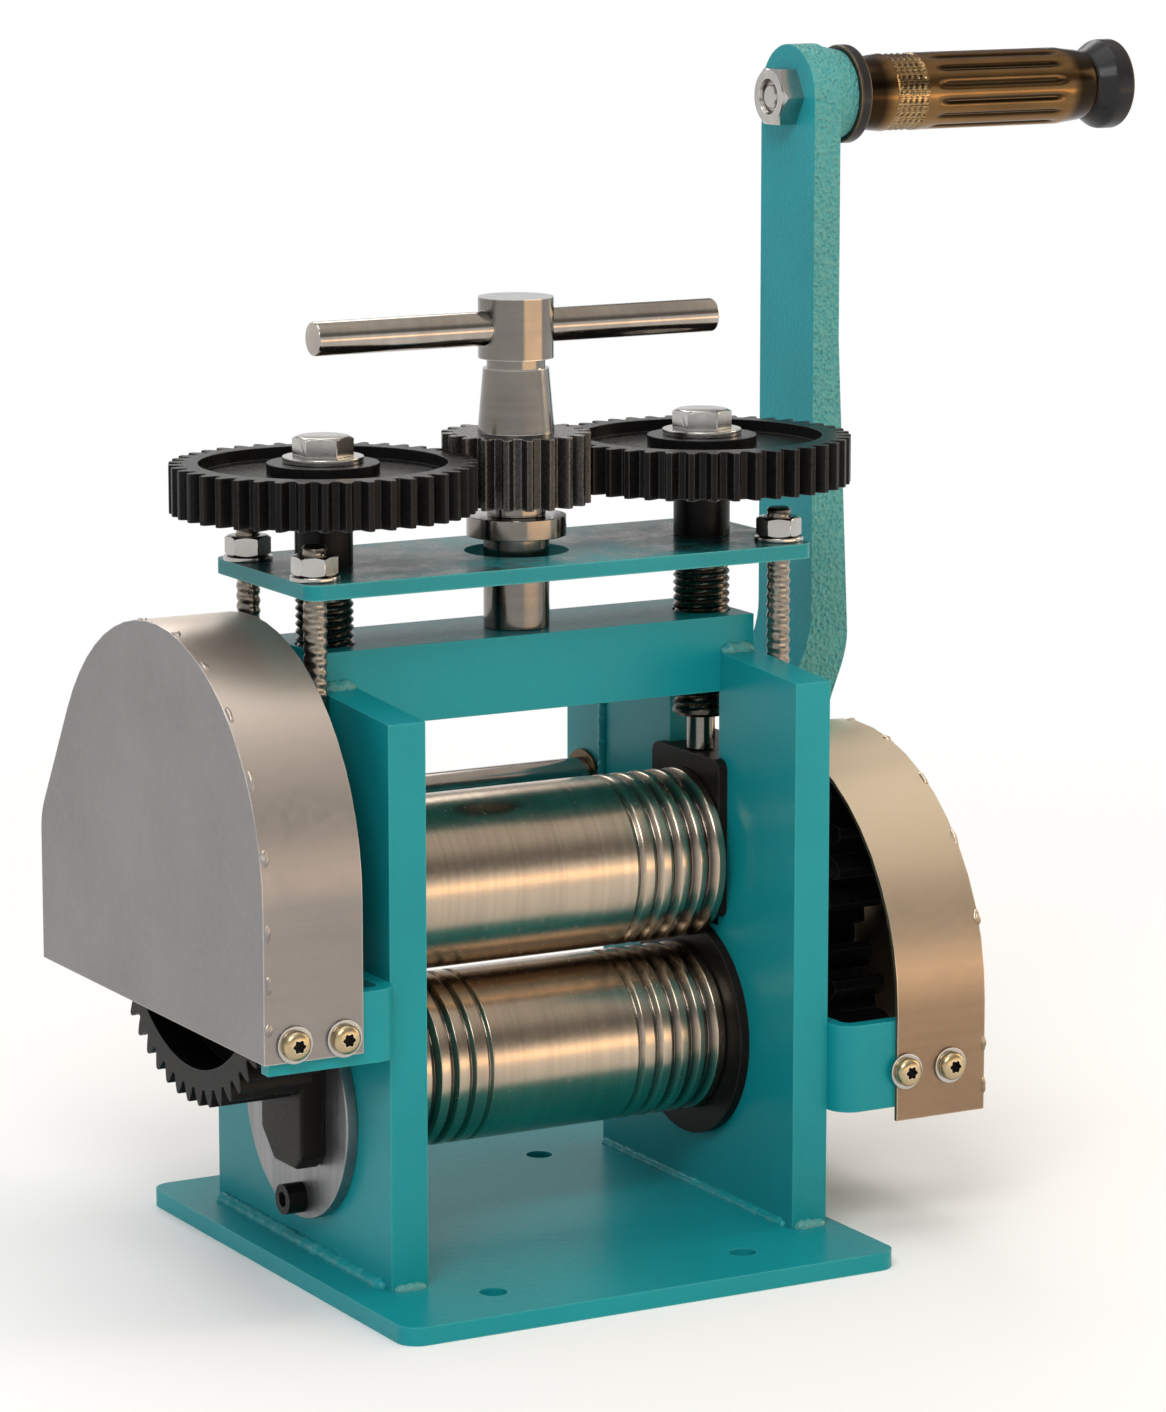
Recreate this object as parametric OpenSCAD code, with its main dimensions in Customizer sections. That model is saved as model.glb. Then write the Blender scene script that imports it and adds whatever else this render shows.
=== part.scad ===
// Hand-cranked jewellers rolling mill, all lengths in millimetres.
// Origin: centre of the four bench-bolt holes, on the underside of the base.
// X runs along the rollers, +X to the crank; -Y is the side the metal is fed in; +Z is up.

/* [Frame] */
// Clear width between the side plates
gap_w = 134; // [126:1:150]
// Thickness of each side plate
plate_t = 13; // [13:0.5:15]
// Depth of each side plate, front to back
plate_d = 126; // [122:1:128]
// Distance of the plates' front edge from the roller axis
post_front = 64.5; // [62:0.5:67]
// Height of the plates' front ears above the bench
ear_z = 187; // [182:1:192]
// Rise of the ears from the front edge to the beam
ear_rise = 3.3; // [1:0.1:5]
// Width of the slot for the upper bearing block
slot_w = 32; // [30:0.5:33]
// Depth of the cross beam
beam_d = 40; // [38:1:46]
// Height of the cross beam
beam_h = 25; // [22:1:28]
// Underside of the beam above the bench
beam_z = 177; // [175:1:180]
// Distance of the beam's front face from the roller axis
beam_front = 16.5; // [16.5:0.1:18]

/* [Base] */
// Thickness of the base plate
base_t = 6; // [5:0.5:8]
// Base left of the left plate
base_left = 14.3; // [8:0.1:24]
// Base right of the right plate
base_right = 4.5; // [0.5:0.5:12]
// Base in front of the plates
base_front = 38; // [30:1:48]
// Base behind the plates
base_rear = 25; // [12:0.2:30]
// Corner radius of the base
base_r = 7; // [3:0.5:12]
// Middle of the bench bolts left of the base's middle
bolt_aside = 1.5; // [0:0.1:3]
// Middle of the bench bolts in front of the base's middle
bolt_ahead = 3.4; // [0:0.1:5]
// Spacing of the bench bolts along X
bolt_dx = 91; // [80:1:100]
// Spacing of the bench bolts along Y
bolt_dy = 136.2; // [120:0.2:150]
// Diameter of the bench-bolt holes
bolt_hole_d = 9; // [6:0.5:11]

/* [Rollers] */
// Diameter of both rollers
roller_d = 56.5; // [54:0.5:58]
// Height of the lower roller's axis
lower_z = 61.7; // [60.5:0.1:63]
// Opening between the rollers at rest
rest_gap = 2.7; // [2.5:0.1:3.5]
// Smallest opening
min_gap = 0.4; // [0.2:0.1:1]
// Largest opening
max_gap = 4.5; // [4:0.1:4.8]
// Play of a roller between the bearing faces, each side
roller_play = 0.5; // [0.3:0.1:1]
// Diameter of the roller journals
journal_d = 22; // [20:0.5:23]
// Pitch of the wire grooves
groove_pitch = 6.6; // [6:0.1:7]
// Depth of the deepest groove
groove_depth = 2.4; // [1.5:0.1:2.8]
// Grooves at the right of the upper roller and of the lower roller
groove_n = 5; // [3:1:5]
// Grooves at the left of the lower roller
groove_left_n = 6; // [3:1:6]

/* [Bearings] */
// Width of the bearing blocks' inner flange
block_w = 44; // [42:1:46]
// Height of a bearing block above the roller axis
block_up = 34; // [32:0.5:35]
// How far the inner flanges stand proud of the plates
flange_t = 3.5; // [3:0.5:4]
// Wall of the upper bearing blocks under their bore
block_wall = 5.95; // [5:0.05:8]
// Wall of the bushes
bush_t = 2.5; // [1.5:0.5:3]
// Radial running clearance of shafts and bushes
run_fit = 0.05; // [0.03:0.01:0.08]
// Thickness of the keeper disc
keeper_t = 4; // [3:0.5:4]
// Keeper disc's centre in front of the roller axis
keeper_dy = 5; // [2:0.5:6]
// Keeper disc's centre below the roller axis
keeper_dz = 8; // [5:0.5:10]
// Width of the black bearing cap
cap_w = 29; // [26:1:34]
// Thickness of the bearing cap
cap_t = 9; // [6:0.5:9]

/* [Gears] */
// Teeth of the drive gear on the upper roller
drive_n = 49; // [47:2:51]
// Teeth of the drive pinion on the crank shaft
drive_pinion_n = 11; // [11:1:12]
// Face width of the drive gear
drive_w = 25; // [20:1:26]
// Teeth of the two roller gears
sync_n = 14; // [14:2:16]
// Face width of the roller gears
sync_w = 20; // [14:1:22]
// Teeth of the large adjusting gears
adjust_n = 42; // [40:2:44]
// Teeth of the centre pinion
centre_n = 20; // [18:2:22]
// Distance of each adjusting screw's axis from its plate's inner face
screw_step = 2.5; // [1.5:0.5:3]
// Face width of the large adjusting gears
adjust_w = 15.6; // [13:0.2:17]
// Face width of the centre pinion
centre_w = 23; // [22:0.5:26]
// Backlash left between meshing teeth
tooth_play = 0.3; // [0.2:0.05:0.4]

/* [Top] */
// Top plate beyond the studs' axes at each end
top_side = 7.3; // [6:0.1:10]
// Depth of the top plate
top_d = 70; // [60:1:76]
// Thickness of the top plate
top_t = 5; // [4:0.5:6]
// Underside of the top plate above the bench at rest
top_z = 222; // [221:0.5:225]
// Corner radius of the top plate
top_r = 5; // [3:0.5:8]
// Thread diameter of the lifting studs
stud_d = 8; // [6:0.5:8]
// Distance of the studs in front of and behind the roller axis
stud_dy = 24; // [22:0.5:25]
// Thread diameter of the adjusting screws
screw_d = 19; // [17.5:0.5:19.5]
// Outer diameter of the sleeves under the adjusting gears
sleeve_d = 18.6; // [18:0.1:21]
// Diameter of the screws' lower tips
tip_d = 9.5; // [8:0.5:12]
// Diameter of the centre shaft below the top plate
post_d = 21.5; // [20:0.5:23]
// Diameter of the centre shaft above the top plate
neck_d = 19; // [16:0.5:20]
// Diameter of the tee head
head_d = 24.5; // [23:0.5:28]
// Height of the tee head
head_h = 19.7; // [17:0.1:22]
// Diameter of the tee bar
bar_d = 11; // [8:0.5:12]
// Length of the tee bar
bar_len = 146; // [120:1:170]

/* [Covers] */
// Sheet thickness of the covers
sheet_t = 1.5; // [1:0.1:2]
// Width of the covers' band
cover_w = 34; // [32:0.5:36]
// Gap between the left plate and the left cover
left_cover_gap = 14; // [13.5:0.5:16]
// Gap between the right plate and the right cover
right_cover_gap = 21; // [20:0.5:24]
// Room between the drive gear's teeth and the left cover's arch
left_cover_room = 14.6; // [11:0.1:17]
// Height of the left cover's arch centre above the gear's axis
left_cover_rise = 14.1; // [10:0.1:17]
// Bottom edge of the left cover below the gear's axis
left_cover_drop = 33.9; // [29:0.1:36]
// Arch radius of the right cover at its front
right_cover_r = 81; // [78:0.5:83]
// Bottom edge of the right cover below its arch's centre
right_cover_drop = 36.2; // [32:0.2:40]
// Height of the left bracket strap
left_strap_h = 23; // [20:0.5:26]
// Height of the right bracket strap
right_strap_h = 29; // [22:0.5:32]
// Thickness of the bracket straps
strap_t = 5; // [4:0.5:6]
// Distance between the two screws of a cover
cover_screw_dx = 17; // [15:0.5:18]
// Thread diameter of the cover screws
cover_screw_d = 5; // [4:0.5:6]

/* [Crank] */
// Height of the crank axis
crank_z = 130.5; // [128:0.5:132]
// Distance from the crank axis to the grip axis
crank_r = 233.5; // [200:0.5:250]
// Diameter of the crank shaft between the plates
shaft_d = 18.6; // [17:0.1:19]
// Diameter of the crank shaft's journals in the bushes
shaft_journal_d = 16; // [14:0.5:16.5]
// Wall of the crank shaft's bushes
crank_bush_t = 2.5; // [1.5:0.5:3]
// Width of the bars behind the plates; the crank shaft runs in their middle
bar_w = 25.4; // [24.4:0.2:28]
// Width of the crank arm
arm_w = 35.5; // [24:0.5:38]
// Thickness of the crank arm near its hub
arm_t = 15; // [12:0.5:20]
// Thickness of the crank arm at the handle
arm_tip_t = 10.5; // [8:0.5:12]
// Clearance between the right cover and the crank arm
arm_clear = 3.5; // [2:0.5:12]
// Sideways set of the arm from the hub to the handle
arm_set = 8.5; // [3:0.5:12]
// Length of the grip with both ends
grip_len = 115; // [95:1:130]
// Diameter of the grip
grip_d = 27; // [24:0.5:30]
// Diameter of the inner grip flange
grip_flange_d = 34; // [32:0.5:38]
// Diameter of the outer grip end
grip_end_d = 31.5; // [30:0.5:36]
// Diameter of the handle spindle
spindle_d = 10; // [8:0.5:12]

/* [Hidden] */

$fn = 64;
// facets of the long round parts
fine = 96;
// overrun of every cut past the solid it cuts
cut = 1;
// play of parts that are bolted or dropped together
loose = 0.3;
// sliding play between flat faces that move on each other
slide = 0.08;

// places, seen from the machine's middle plane, the roller axis and the bench
plate_in = gap_w / 2;
plate_out = plate_in + plate_t;
plate_rear = plate_d - post_front;
base_w = 2 * plate_out + base_left + base_right;
base_d = plate_d + base_front + base_rear;
mid_x = (base_left - base_right) / 2 + bolt_aside;
mid_y = (base_front + post_front - plate_rear - base_rear) / 2 + bolt_ahead;
crank_dy = plate_rear + bar_w / 2;
screw_dx = plate_in + screw_step;
upper_z = lower_z + roller_d + rest_gap;
lift_low = min_gap - rest_gap;
lift_high = max_gap - rest_gap;
beam_top = beam_z + beam_h;
beam_rear = beam_d - beam_front;

// share of a keyed seat's diameter from its axis to its flat
flat_share = 0.36;
// how much a seat ends short of the piece on it
seat_short = 1;

// bearings
bearing_in = plate_in - flange_t;
bush_d = journal_d + 2 * bush_t;
housing_wall = 4;
housing_d = bush_d + 2 * housing_wall;
flange_clear = 0.4;
block_r = 4;
block_low = upper_z - bush_d / 2 - run_fit - block_wall;
flange_d = 2 * (block_low + lift_low - flange_clear - lower_z);
block_top = upper_z + block_up;
block_body_w = slot_w - 2 * slide;
slot_floor = 1;
slot_low = block_low + lift_low - slot_floor;
block_out = plate_out + slide;
lug_w = 12;
lug_t = 12;
lug_d = 2 * (stud_dy + stud_d);
lug_screw_d = 5;
lug_screw_dy = 8;
lug_head_d = 8.5;
lug_head_h = 5;
lug_screw_l = 12;
keeper_screw_d = 6;
keeper_screw_rim = 7;
keeper_screw_r = flange_d / 2 - keeper_screw_rim;
keeper_screw_dy = 4;
keeper_y = -keeper_dy;
keeper_z = lower_z - keeper_dz;
keeper_screw_y = keeper_y - keeper_screw_dy;
keeper_screw_z = keeper_z - sqrt(pow(keeper_screw_r, 2) - pow(keeper_screw_dy, 2));
keeper_out = plate_out + keeper_t;
socket_d = 10;
socket_h = 7;
socket_w = 5;
cap_up = 17;
cap_gap = 0.5;
cap_down = keeper_screw_r - socket_d / 2 - cap_gap;
cap_dy = 12.5;
cap_corner = 9;

// rollers
roller_len = 2 * (bearing_in - roller_play);
groove_margin = 2;
groove_fade_share = 0.11;
seat_d = journal_d - 2;
seat_bolt_d = 8;
seat_bolt_w = 13;
seat_bolt_h = 5;
seat_bolt_l = 18;
seat_flange_d = 26;
bolt_flange_h = 1.6;
drive_clear = 1.5;
drive_in = block_out + lug_w + drive_clear;
sync_inset = 4;
sync_in = plate_out + right_cover_gap + sync_inset;
drive_end = drive_in + drive_w - seat_short;
sync_end = sync_in + sync_w - seat_short;

// gear meshes: the drive mesh is set for the highest place of the upper roller
drive_dist = norm([crank_dy, crank_z - upper_z - lift_high]);
drive_module = 2 * drive_dist / (drive_n + drive_pinion_n);
drive_r = drive_module * drive_n / 2;
drive_pinion_r = drive_module * drive_pinion_n / 2;
drive_line = atan2(crank_z - upper_z, crank_dy);
drive_angle = 25;
add_share = 1;
ded_share = 1.2;
drive_add = drive_module * add_share;
drive_ded = drive_module * ded_share;
sync_r = (roller_d + min_gap) / 2;
sync_module = 2 * sync_r / sync_n;
sync_angle = 25;
sync_add_share = 0.78;
sync_add = sync_module * sync_add_share;
sync_ded = sync_module * ded_share;
adjust_module = 2 * screw_dx / (adjust_n + centre_n);
adjust_r = adjust_module * adjust_n / 2;
centre_r = adjust_module * centre_n / 2;
adjust_angle = 20;
adjust_add_share = 0.85;
adjust_ded_share = 1.1;
adjust_add = adjust_module * adjust_add_share;
adjust_ded = adjust_module * adjust_ded_share;
flank_steps = 3;

// drive gear's recesses
drive_rim = 6.5;
drive_web = 7;
drive_hub_d = 36;
drive_recess = 13;
drive_recess_d = 2 * (drive_r - drive_ded - drive_rim);

// top plate, studs and screws
top_up = top_z + top_t;
stud_side = 0.7;
stud_x = plate_out + stud_d / 2 + stud_side;
top_w = 2 * (stud_x + top_side);
post_hole_d = 34;
lug_floor = 2;
stud_low = block_top - lug_t + lug_floor;
nut_h = 6.5;
nut_w = 13;
stud_washer_t = 1.5;
stud_washer_d = 16;
stud_over = 3;
tip_h = 12;
// the screws carry the plate on a shoulder; a sleeve above it bears the gear
relief_h = 3;
relief_d = 17.4;
carry_d = 16.4;
sleeve_h = 17.7;
adjust_low = top_up + sleeve_h;
adjust_top = adjust_low + adjust_w;
adjust_seat_d = 15;
adjust_hub_d = 36;
adjust_rim = 5;
adjust_recess = 4;
adjust_recess_d = 2 * (adjust_r - adjust_ded - adjust_rim);
gear_bolt_d = 10;
gear_bolt_w = 17;
gear_bolt_h = 6.4;
gear_bolt_l = 20;
gear_washer_d = 26;
gear_washer_t = 2;

// centre shaft
pivot_d = 16;
pivot_groove = 1;
ring_gap = 0.1;
ring_t = 3;
ring_d = 26;
pivot_end = 2;
ring_pocket = 6.5;
ring_top = beam_z + ring_pocket - ring_gap;
collar_rise = 5;
shaft_collar_low = top_up + collar_rise;
shaft_collar_h = 6.6;
shaft_collar_d = 32.5;
centre_drop = 2;
centre_low = adjust_low - centre_drop;
centre_top = centre_low + centre_w;
centre_seat_d = 14;
cone_h = 20.7;
cone_low_d = 25;
cone_high_d = 21.4;
tee_neck_h = 3.2;
tee_neck_d = 19;
tee_low = centre_top + cone_h + tee_neck_h;
bar_z = tee_low + head_h / 2;
seat_in_cone = 14.5;

// covers
cover_bends = 24;
lobe_room = 3.8;
left_cover_mid = 4;
right_cover_mid = 7;
right_cover_room = 1.4;
right_cover_rear_share = 0.8626;
right_cover_rear_r = crank_dy * right_cover_rear_share;
left_cover_r = drive_r + drive_add + left_cover_room;
left_cover_z = upper_z + left_cover_rise;
left_cover_low = upper_z - left_cover_drop;
left_cover_in = plate_out + left_cover_gap;
right_cover_in = plate_out + right_cover_gap;
left_cover_y = left_cover_mid - left_cover_r;
right_cover_y = right_cover_mid - right_cover_r;
right_cover_top = upper_z + lift_high + sync_r + sync_add + right_cover_room + sheet_t;
right_cover_low = right_cover_top - right_cover_r - right_cover_drop;
lobe_r = drive_pinion_r + drive_add + lobe_room;
lobe_dist = norm([crank_dy - left_cover_mid, crank_z - left_cover_z]);
lobe_turn = atan2(crank_z - left_cover_z, crank_dy - left_cover_mid);
lobe_tilt = acos((left_cover_r - lobe_r) / lobe_dist) + lobe_turn;
left_strap_drop = 4;
left_strap_low = left_cover_low - left_strap_drop;
right_strap_lift = 4.5;
right_strap_low = right_cover_low + right_strap_lift;
strap_bend = 8;
left_strap_leg = 32;
right_strap_leg = 26;
strap_inset = 2;
left_screw_inset = 8.2;
right_screw_inset = 11.7;
screw_height_share = 0.42;
left_reach = left_cover_gap + cover_w - strap_inset;
right_reach = right_cover_gap + cover_w - strap_inset;
left_screw_x = plate_out + left_reach - left_screw_inset;
right_screw_x = plate_out + right_reach - right_screw_inset;
left_screw_z = left_strap_low + left_strap_h * screw_height_share;
right_screw_z = right_strap_low + right_strap_h * screw_height_share;
pan_d = 9.4;
pan_h = 3;
cover_washer_d = 12;
cover_washer_t = 1;

// crank
bar_down = 26.5;
shaft_bar_low = crank_z - bar_down;
crank_bush_d = shaft_journal_d + 2 * crank_bush_t;
bush_flange = 1.5;
shaft_in = plate_in - bush_flange - slide;
pinion_wall = 4.2;
pinion_seat_d = 2 * (drive_pinion_r - drive_ded - pinion_wall);
pinion_over = 1;
pinion_in = drive_in - pinion_over;
pinion_w = drive_w + 2 * pinion_over;
pinion_end = pinion_in + pinion_w - seat_short;
arm_x = right_cover_in + cover_w + arm_clear;
arm_out = arm_x + arm_set;
hub_over = 3;
hub_w = arm_t + hub_over;
hub_end = arm_x + hub_w - seat_short;
hub_d = 40;
shaft_bolt_share = 0.46;
shaft_bolt_d = pinion_seat_d * shaft_bolt_share;
shaft_bolt_w = 10;
shaft_bolt_h = 4.5;
shaft_bolt_l = 14;
shaft_flange_d = 20;
bend_low = 14;
bend_h = 34;
bend_lead = 7;
bend_steps = 12;
taper_top = 150;
boss_d = 30.5;
boss_step = 1;
boss_h = 9;
boss_end = arm_out + arm_tip_t + boss_h;
grip_x = boss_end + slide;
grip_flange_w = 4.5;
grip_end_w = 13;
grip_mid = grip_len - grip_flange_w - grip_end_w;
grip_neck_d = 23;
grip_taper = 11;
grip_flare = 6.5;
spindle_head_d = 16;
spindle_head_h = 5;
spindle_pocket = 6;
handle_nut_w = 19;
handle_nut_h = 8;
spindle_short = 1.5;
spindle_in = arm_out - handle_nut_h + spindle_short;
spindle_out = grip_x + grip_len - spindle_pocket + slide;

module place() {
  translate([mid_x, mid_y, 0]) children();
}

// both halves of the machine, right one first
module both_sides() {
  children();
  mirror([1, 0, 0]) children();
}

// cylinder along +X from a point
module rod_x(d, l, x0, y0, z0) {
  translate([x0, y0, z0]) rotate([0, 90, 0]) cylinder(d = d, h = l);
}

// outline in the YZ plane, extruded along +X from x0
module slab_x(x0, l) {
  translate([x0, 0, 0]) rotate([90, 0, 90]) linear_extrude(l) children();
}

module round_rect(w, d, r) {
  union() {
    square([w - 2 * r, d], center = true);
    square([w, d - 2 * r], center = true);
    for (sx = [-1, 1], sy = [-1, 1])
      translate([sx * (w / 2 - r), sy * (d / 2 - r)]) circle(r = r);
  }
}

// ring standing on the origin, along +Z
module ring(outer_d, inner_d, h) {
  difference() {
    cylinder(d = outer_d, h = h);
    translate([0, 0, -cut]) cylinder(d = inner_d, h = h + 2 * cut);
  }
}

// involute gear outlines
function roll(r, rb) = let(t = sqrt(max(pow(r / rb, 2) - 1, 0))) t * 180 / PI - atan(t);
function flank(r, rp, n, angle) =
  let(rb = rp * cos(angle))
  90 / n - tooth_play / (4 * rp) * 180 / PI + roll(rp, rb) - roll(max(r, rb), rb);
function polar(r, a) = [r * cos(a), r * sin(a)];
function tooth(rp, n, add, ded, angle, at) =
  let(
    r0 = rp - ded,
    r1 = rp + add,
    rb = max(rp * cos(angle), r0),
    rs = [for (i = [0:flank_steps]) rb + (r1 - rb) * i / flank_steps],
    root = flank(rb, rp, n, angle)
  )
  concat(
    rb > r0 ? [polar(r0, at - root)] : [],
    [for (r = rs) polar(r, at - flank(r, rp, n, angle))],
    [for (i = [flank_steps:-1:0]) polar(rs[i], at + flank(rs[i], rp, n, angle))],
    rb > r0 ? [polar(r0, at + root)] : []
  );

module gear_outline(rp, n, add, ded, angle, turn) {
  polygon([for (k = [0:n - 1]) each tooth(rp, n, add, ded, angle, turn + k * 360 / n)]);
}

// disc with a flat that keys a gear to its shaft
module keyed(d) {
  intersection() {
    circle(d = d);
    translate([-d, -d]) square([2 * d, d + d * flat_share]);
  }
}

// bolt with a flange under its hexagon, seat at the origin, head towards +Z
module flange_bolt(d, w, h, flange_w, len) {
  union() {
    cylinder(d = flange_w, h = bolt_flange_h);
    translate([0, 0, bolt_flange_h / 2])
      cylinder(d = w / cos(30), h = h - bolt_flange_h / 2, $fn = 6);
    translate([0, 0, -len]) cylinder(d = d, h = len + bolt_flange_h / 2);
  }
}

// base plate
module base_plate() {
  color([0.05, 0.55, 0.58])
    linear_extrude(base_t) difference() {
      translate([bolt_aside, bolt_ahead]) round_rect(base_w, base_d, base_r);
      for (sx = [-1, 1], sy = [-1, 1])
        translate([sx * bolt_dx / 2, sy * bolt_dy / 2]) circle(d = bolt_hole_d);
    }
}

// side plates with ears in front of and behind the beam
module plate_outline() {
  difference() {
    polygon([
      [-post_front, base_t], [plate_rear, base_t], [plate_rear, ear_z],
      [beam_rear, ear_z + ear_rise], [beam_rear, beam_z], [-beam_front, beam_z],
      [-beam_front, ear_z + ear_rise], [-post_front, ear_z]
    ]);
    translate([-slot_w / 2, slot_low]) square([slot_w, beam_z - slot_low + cut]);
    translate([0, lower_z]) circle(d = housing_d + 2 * run_fit);
  }
}

module left_side_plate() {
  color([0.05, 0.58, 0.6]) place() mirror([1, 0, 0]) difference() {
    slab_x(plate_in, plate_t) plate_outline();
    rod_x(keeper_screw_d + 2 * run_fit, plate_t + 2 * cut, plate_in - cut, keeper_screw_y,
      keeper_screw_z);
  }
}

module right_side_plate() {
  color([0.06, 0.6, 0.62]) place() slab_x(plate_in, plate_t) plate_outline();
}

// cross beam with the screws' threaded holes, the centre shaft's bore and a pocket under it
module top_beam() {
  color([0.1, 0.62, 0.62]) place() difference() {
    translate([-plate_out, -beam_front, beam_z]) cube([2 * plate_out, beam_d, beam_h]);
    for (sx = [-1, 1])
      translate([sx * screw_dx, 0, beam_z - cut])
        cylinder(d = screw_d + 2 * run_fit, h = beam_h + 2 * cut);
    translate([0, 0, beam_z - cut]) cylinder(d = pivot_d + 2 * run_fit, h = beam_h + 2 * cut);
    translate([0, 0, beam_z - cut]) cylinder(d = ring_d + 2 * loose, h = ring_pocket + cut);
  }
}

// bars behind the plates that carry the crank shaft
module shaft_bars() {
  color([0.12, 0.6, 0.66]) place() both_sides() slab_x(plate_in, plate_t) difference() {
    translate([plate_rear, shaft_bar_low]) square([bar_w, ear_z - shaft_bar_low]);
    translate([crank_dy, crank_z]) circle(d = crank_bush_d);
  }
}

// cover brackets: a strap across the front, bent round to a leg along the plate
module bracket(front_y, reach, screw_x, low, high, leg) {
  difference() {
    translate([plate_out, front_y, low]) linear_extrude(high) union() {
      translate([strap_bend, 0]) square([reach - strap_bend, strap_t]);
      translate([0, strap_bend]) square([strap_t, leg - strap_bend]);
      intersection() {
        square(strap_bend);
        translate([strap_bend, strap_bend]) difference() {
          circle(r = strap_bend);
          circle(r = strap_bend - strap_t);
        }
      }
    }
    screw_holes(front_y, screw_x, low + high * screw_height_share, cover_screw_d, strap_t);
  }
}

module screw_holes(front_y, screw_x, z, d, depth) {
  for (i = [0, 1])
    translate([screw_x - i * cover_screw_dx, front_y - cut, z])
      rotate([-90, 0, 0]) cylinder(d = d, h = depth + 2 * cut);
}

module left_cover_bracket() {
  color([0.05, 0.5, 0.52]) place() mirror([1, 0, 0])
    bracket(left_cover_y + sheet_t, left_reach, left_screw_x, left_strap_low, left_strap_h,
      left_strap_leg);
}

module right_cover_bracket() {
  color([0.05, 0.5, 0.52]) place()
    bracket(right_cover_y + sheet_t, right_reach, right_screw_x, right_strap_low,
      right_strap_h, right_strap_leg);
}

// sheet covers, bent in many small steps
function arc_points(y0, z0, r, a0, a1, n) =
  [for (i = [0:n]) [y0, z0] + polar(r, a0 + (a1 - a0) * i / n)];

// the left cover arches over the drive gear and bulges over its pinion
module left_outline(inset, drop) {
  polygon(concat(
    arc_points(left_cover_mid, left_cover_z, left_cover_r - inset, 180, lobe_tilt,
      cover_bends),
    arc_points(crank_dy, crank_z, lobe_r - inset, lobe_tilt, 0, cover_bends / 4),
    [
      [crank_dy + lobe_r - inset, left_cover_low - drop],
      [left_cover_y + inset, left_cover_low - drop]
    ]
  ));
}

// the right cover follows a smaller arch behind, clear of the crank shaft
module right_outline(inset, drop) {
  polygon(concat(
    arc_points(right_cover_mid, right_cover_top - right_cover_r, right_cover_r - inset, 180,
      90, cover_bends / 2),
    arc_points(right_cover_mid, right_cover_top - right_cover_rear_r,
      right_cover_rear_r - inset, 90, 0, cover_bends / 2),
    [
      [right_cover_mid + right_cover_rear_r - inset, right_cover_low - drop],
      [right_cover_y + inset, right_cover_low - drop]
    ]
  ));
}

module left_gear_cover() {
  color([0.62, 0.62, 0.64]) place() mirror([1, 0, 0]) difference() {
    slab_x(left_cover_in, cover_w) left_outline(0, 0);
    slab_x(left_cover_in - cut, cover_w - sheet_t + cut) left_outline(sheet_t, cut);
    screw_holes(left_cover_y, left_screw_x, left_screw_z, cover_screw_d + loose, sheet_t);
  }
}

module right_gear_cover() {
  color([0.66, 0.6, 0.55]) place() difference() {
    slab_x(right_cover_in, cover_w) right_outline(0, 0);
    slab_x(right_cover_in - cut, cover_w - sheet_t + cut) right_outline(sheet_t, cut);
    screw_holes(right_cover_y, right_screw_x, right_screw_z, cover_screw_d + loose, sheet_t);
  }
}

// the covers' pan-head screws and washers
module at_cover_screws() {
  for (i = [0, 1]) {
    translate([i * cover_screw_dx - left_screw_x, left_cover_y, left_screw_z])
      rotate([90, 0, 0]) children();
    translate([right_screw_x - i * cover_screw_dx, right_cover_y, right_screw_z])
      rotate([90, 0, 0]) children();
  }
}

module cover_screws() {
  color([0.75, 0.66, 0.5]) place() at_cover_screws() union() {
    translate([0, 0, cover_washer_t]) cylinder(d = pan_d, h = pan_h);
    translate([0, 0, -sheet_t - strap_t])
      cylinder(d = cover_screw_d, h = sheet_t + strap_t + cover_washer_t + pan_h / 2);
  }
}

module cover_washers() {
  color([0.8, 0.8, 0.8]) place() at_cover_screws()
    ring(cover_washer_d, cover_screw_d + loose, cover_washer_t);
}

// lower bearing housings: flange inside, barrel through the plate
module lower_housings() {
  color([0.3, 0.3, 0.32]) place() both_sides()
    translate([bearing_in, 0, lower_z]) rotate([0, 90, 0]) difference() {
      union() {
        cylinder(d = flange_d, h = flange_t);
        cylinder(d = housing_d, h = flange_t + plate_t);
      }
      translate([0, 0, -cut])
        cylinder(d = bush_d + 2 * run_fit, h = flange_t + plate_t + 2 * cut);
    }
}

// keeper disc, its screw and the bearing cap, outside the left plate
module keeper_disc() {
  color([0.55, 0.56, 0.57]) place() difference() {
    rod_x(flange_d, keeper_t, -keeper_out, keeper_y, keeper_z);
    rod_x(keeper_screw_d + 2 * loose, keeper_t + 2 * cut, -keeper_out - cut, keeper_screw_y,
      keeper_screw_z);
  }
}

module keeper_screw() {
  color([0.08, 0.08, 0.09]) place()
    translate([-keeper_out, keeper_screw_y, keeper_screw_z]) rotate([0, -90, 0])
      difference() {
        union() {
          cylinder(d = socket_d, h = socket_h);
          translate([0, 0, -keeper_t - plate_t])
            cylinder(d = keeper_screw_d, h = keeper_t + plate_t + socket_h / 4);
        }
        translate([0, 0, socket_h / 2])
          cylinder(d = socket_w / cos(30), h = socket_h, $fn = 6);
      }
}

module bearing_cap() {
  color([0.07, 0.07, 0.08]) place() slab_x(-keeper_out - cap_t, cap_t)
    translate([-cap_dy, lower_z]) polygon([
      [-cap_w / 2, cap_up],
      [-cap_w / 2, cap_corner / 2 - cap_down],
      [(cap_corner - cap_w) / 2, -cap_down],
      [cap_w / 2 - cap_corner, -cap_down],
      [cap_w / 2, cap_corner - cap_down],
      [cap_w / 2, cap_up]
    ]);
}

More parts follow.
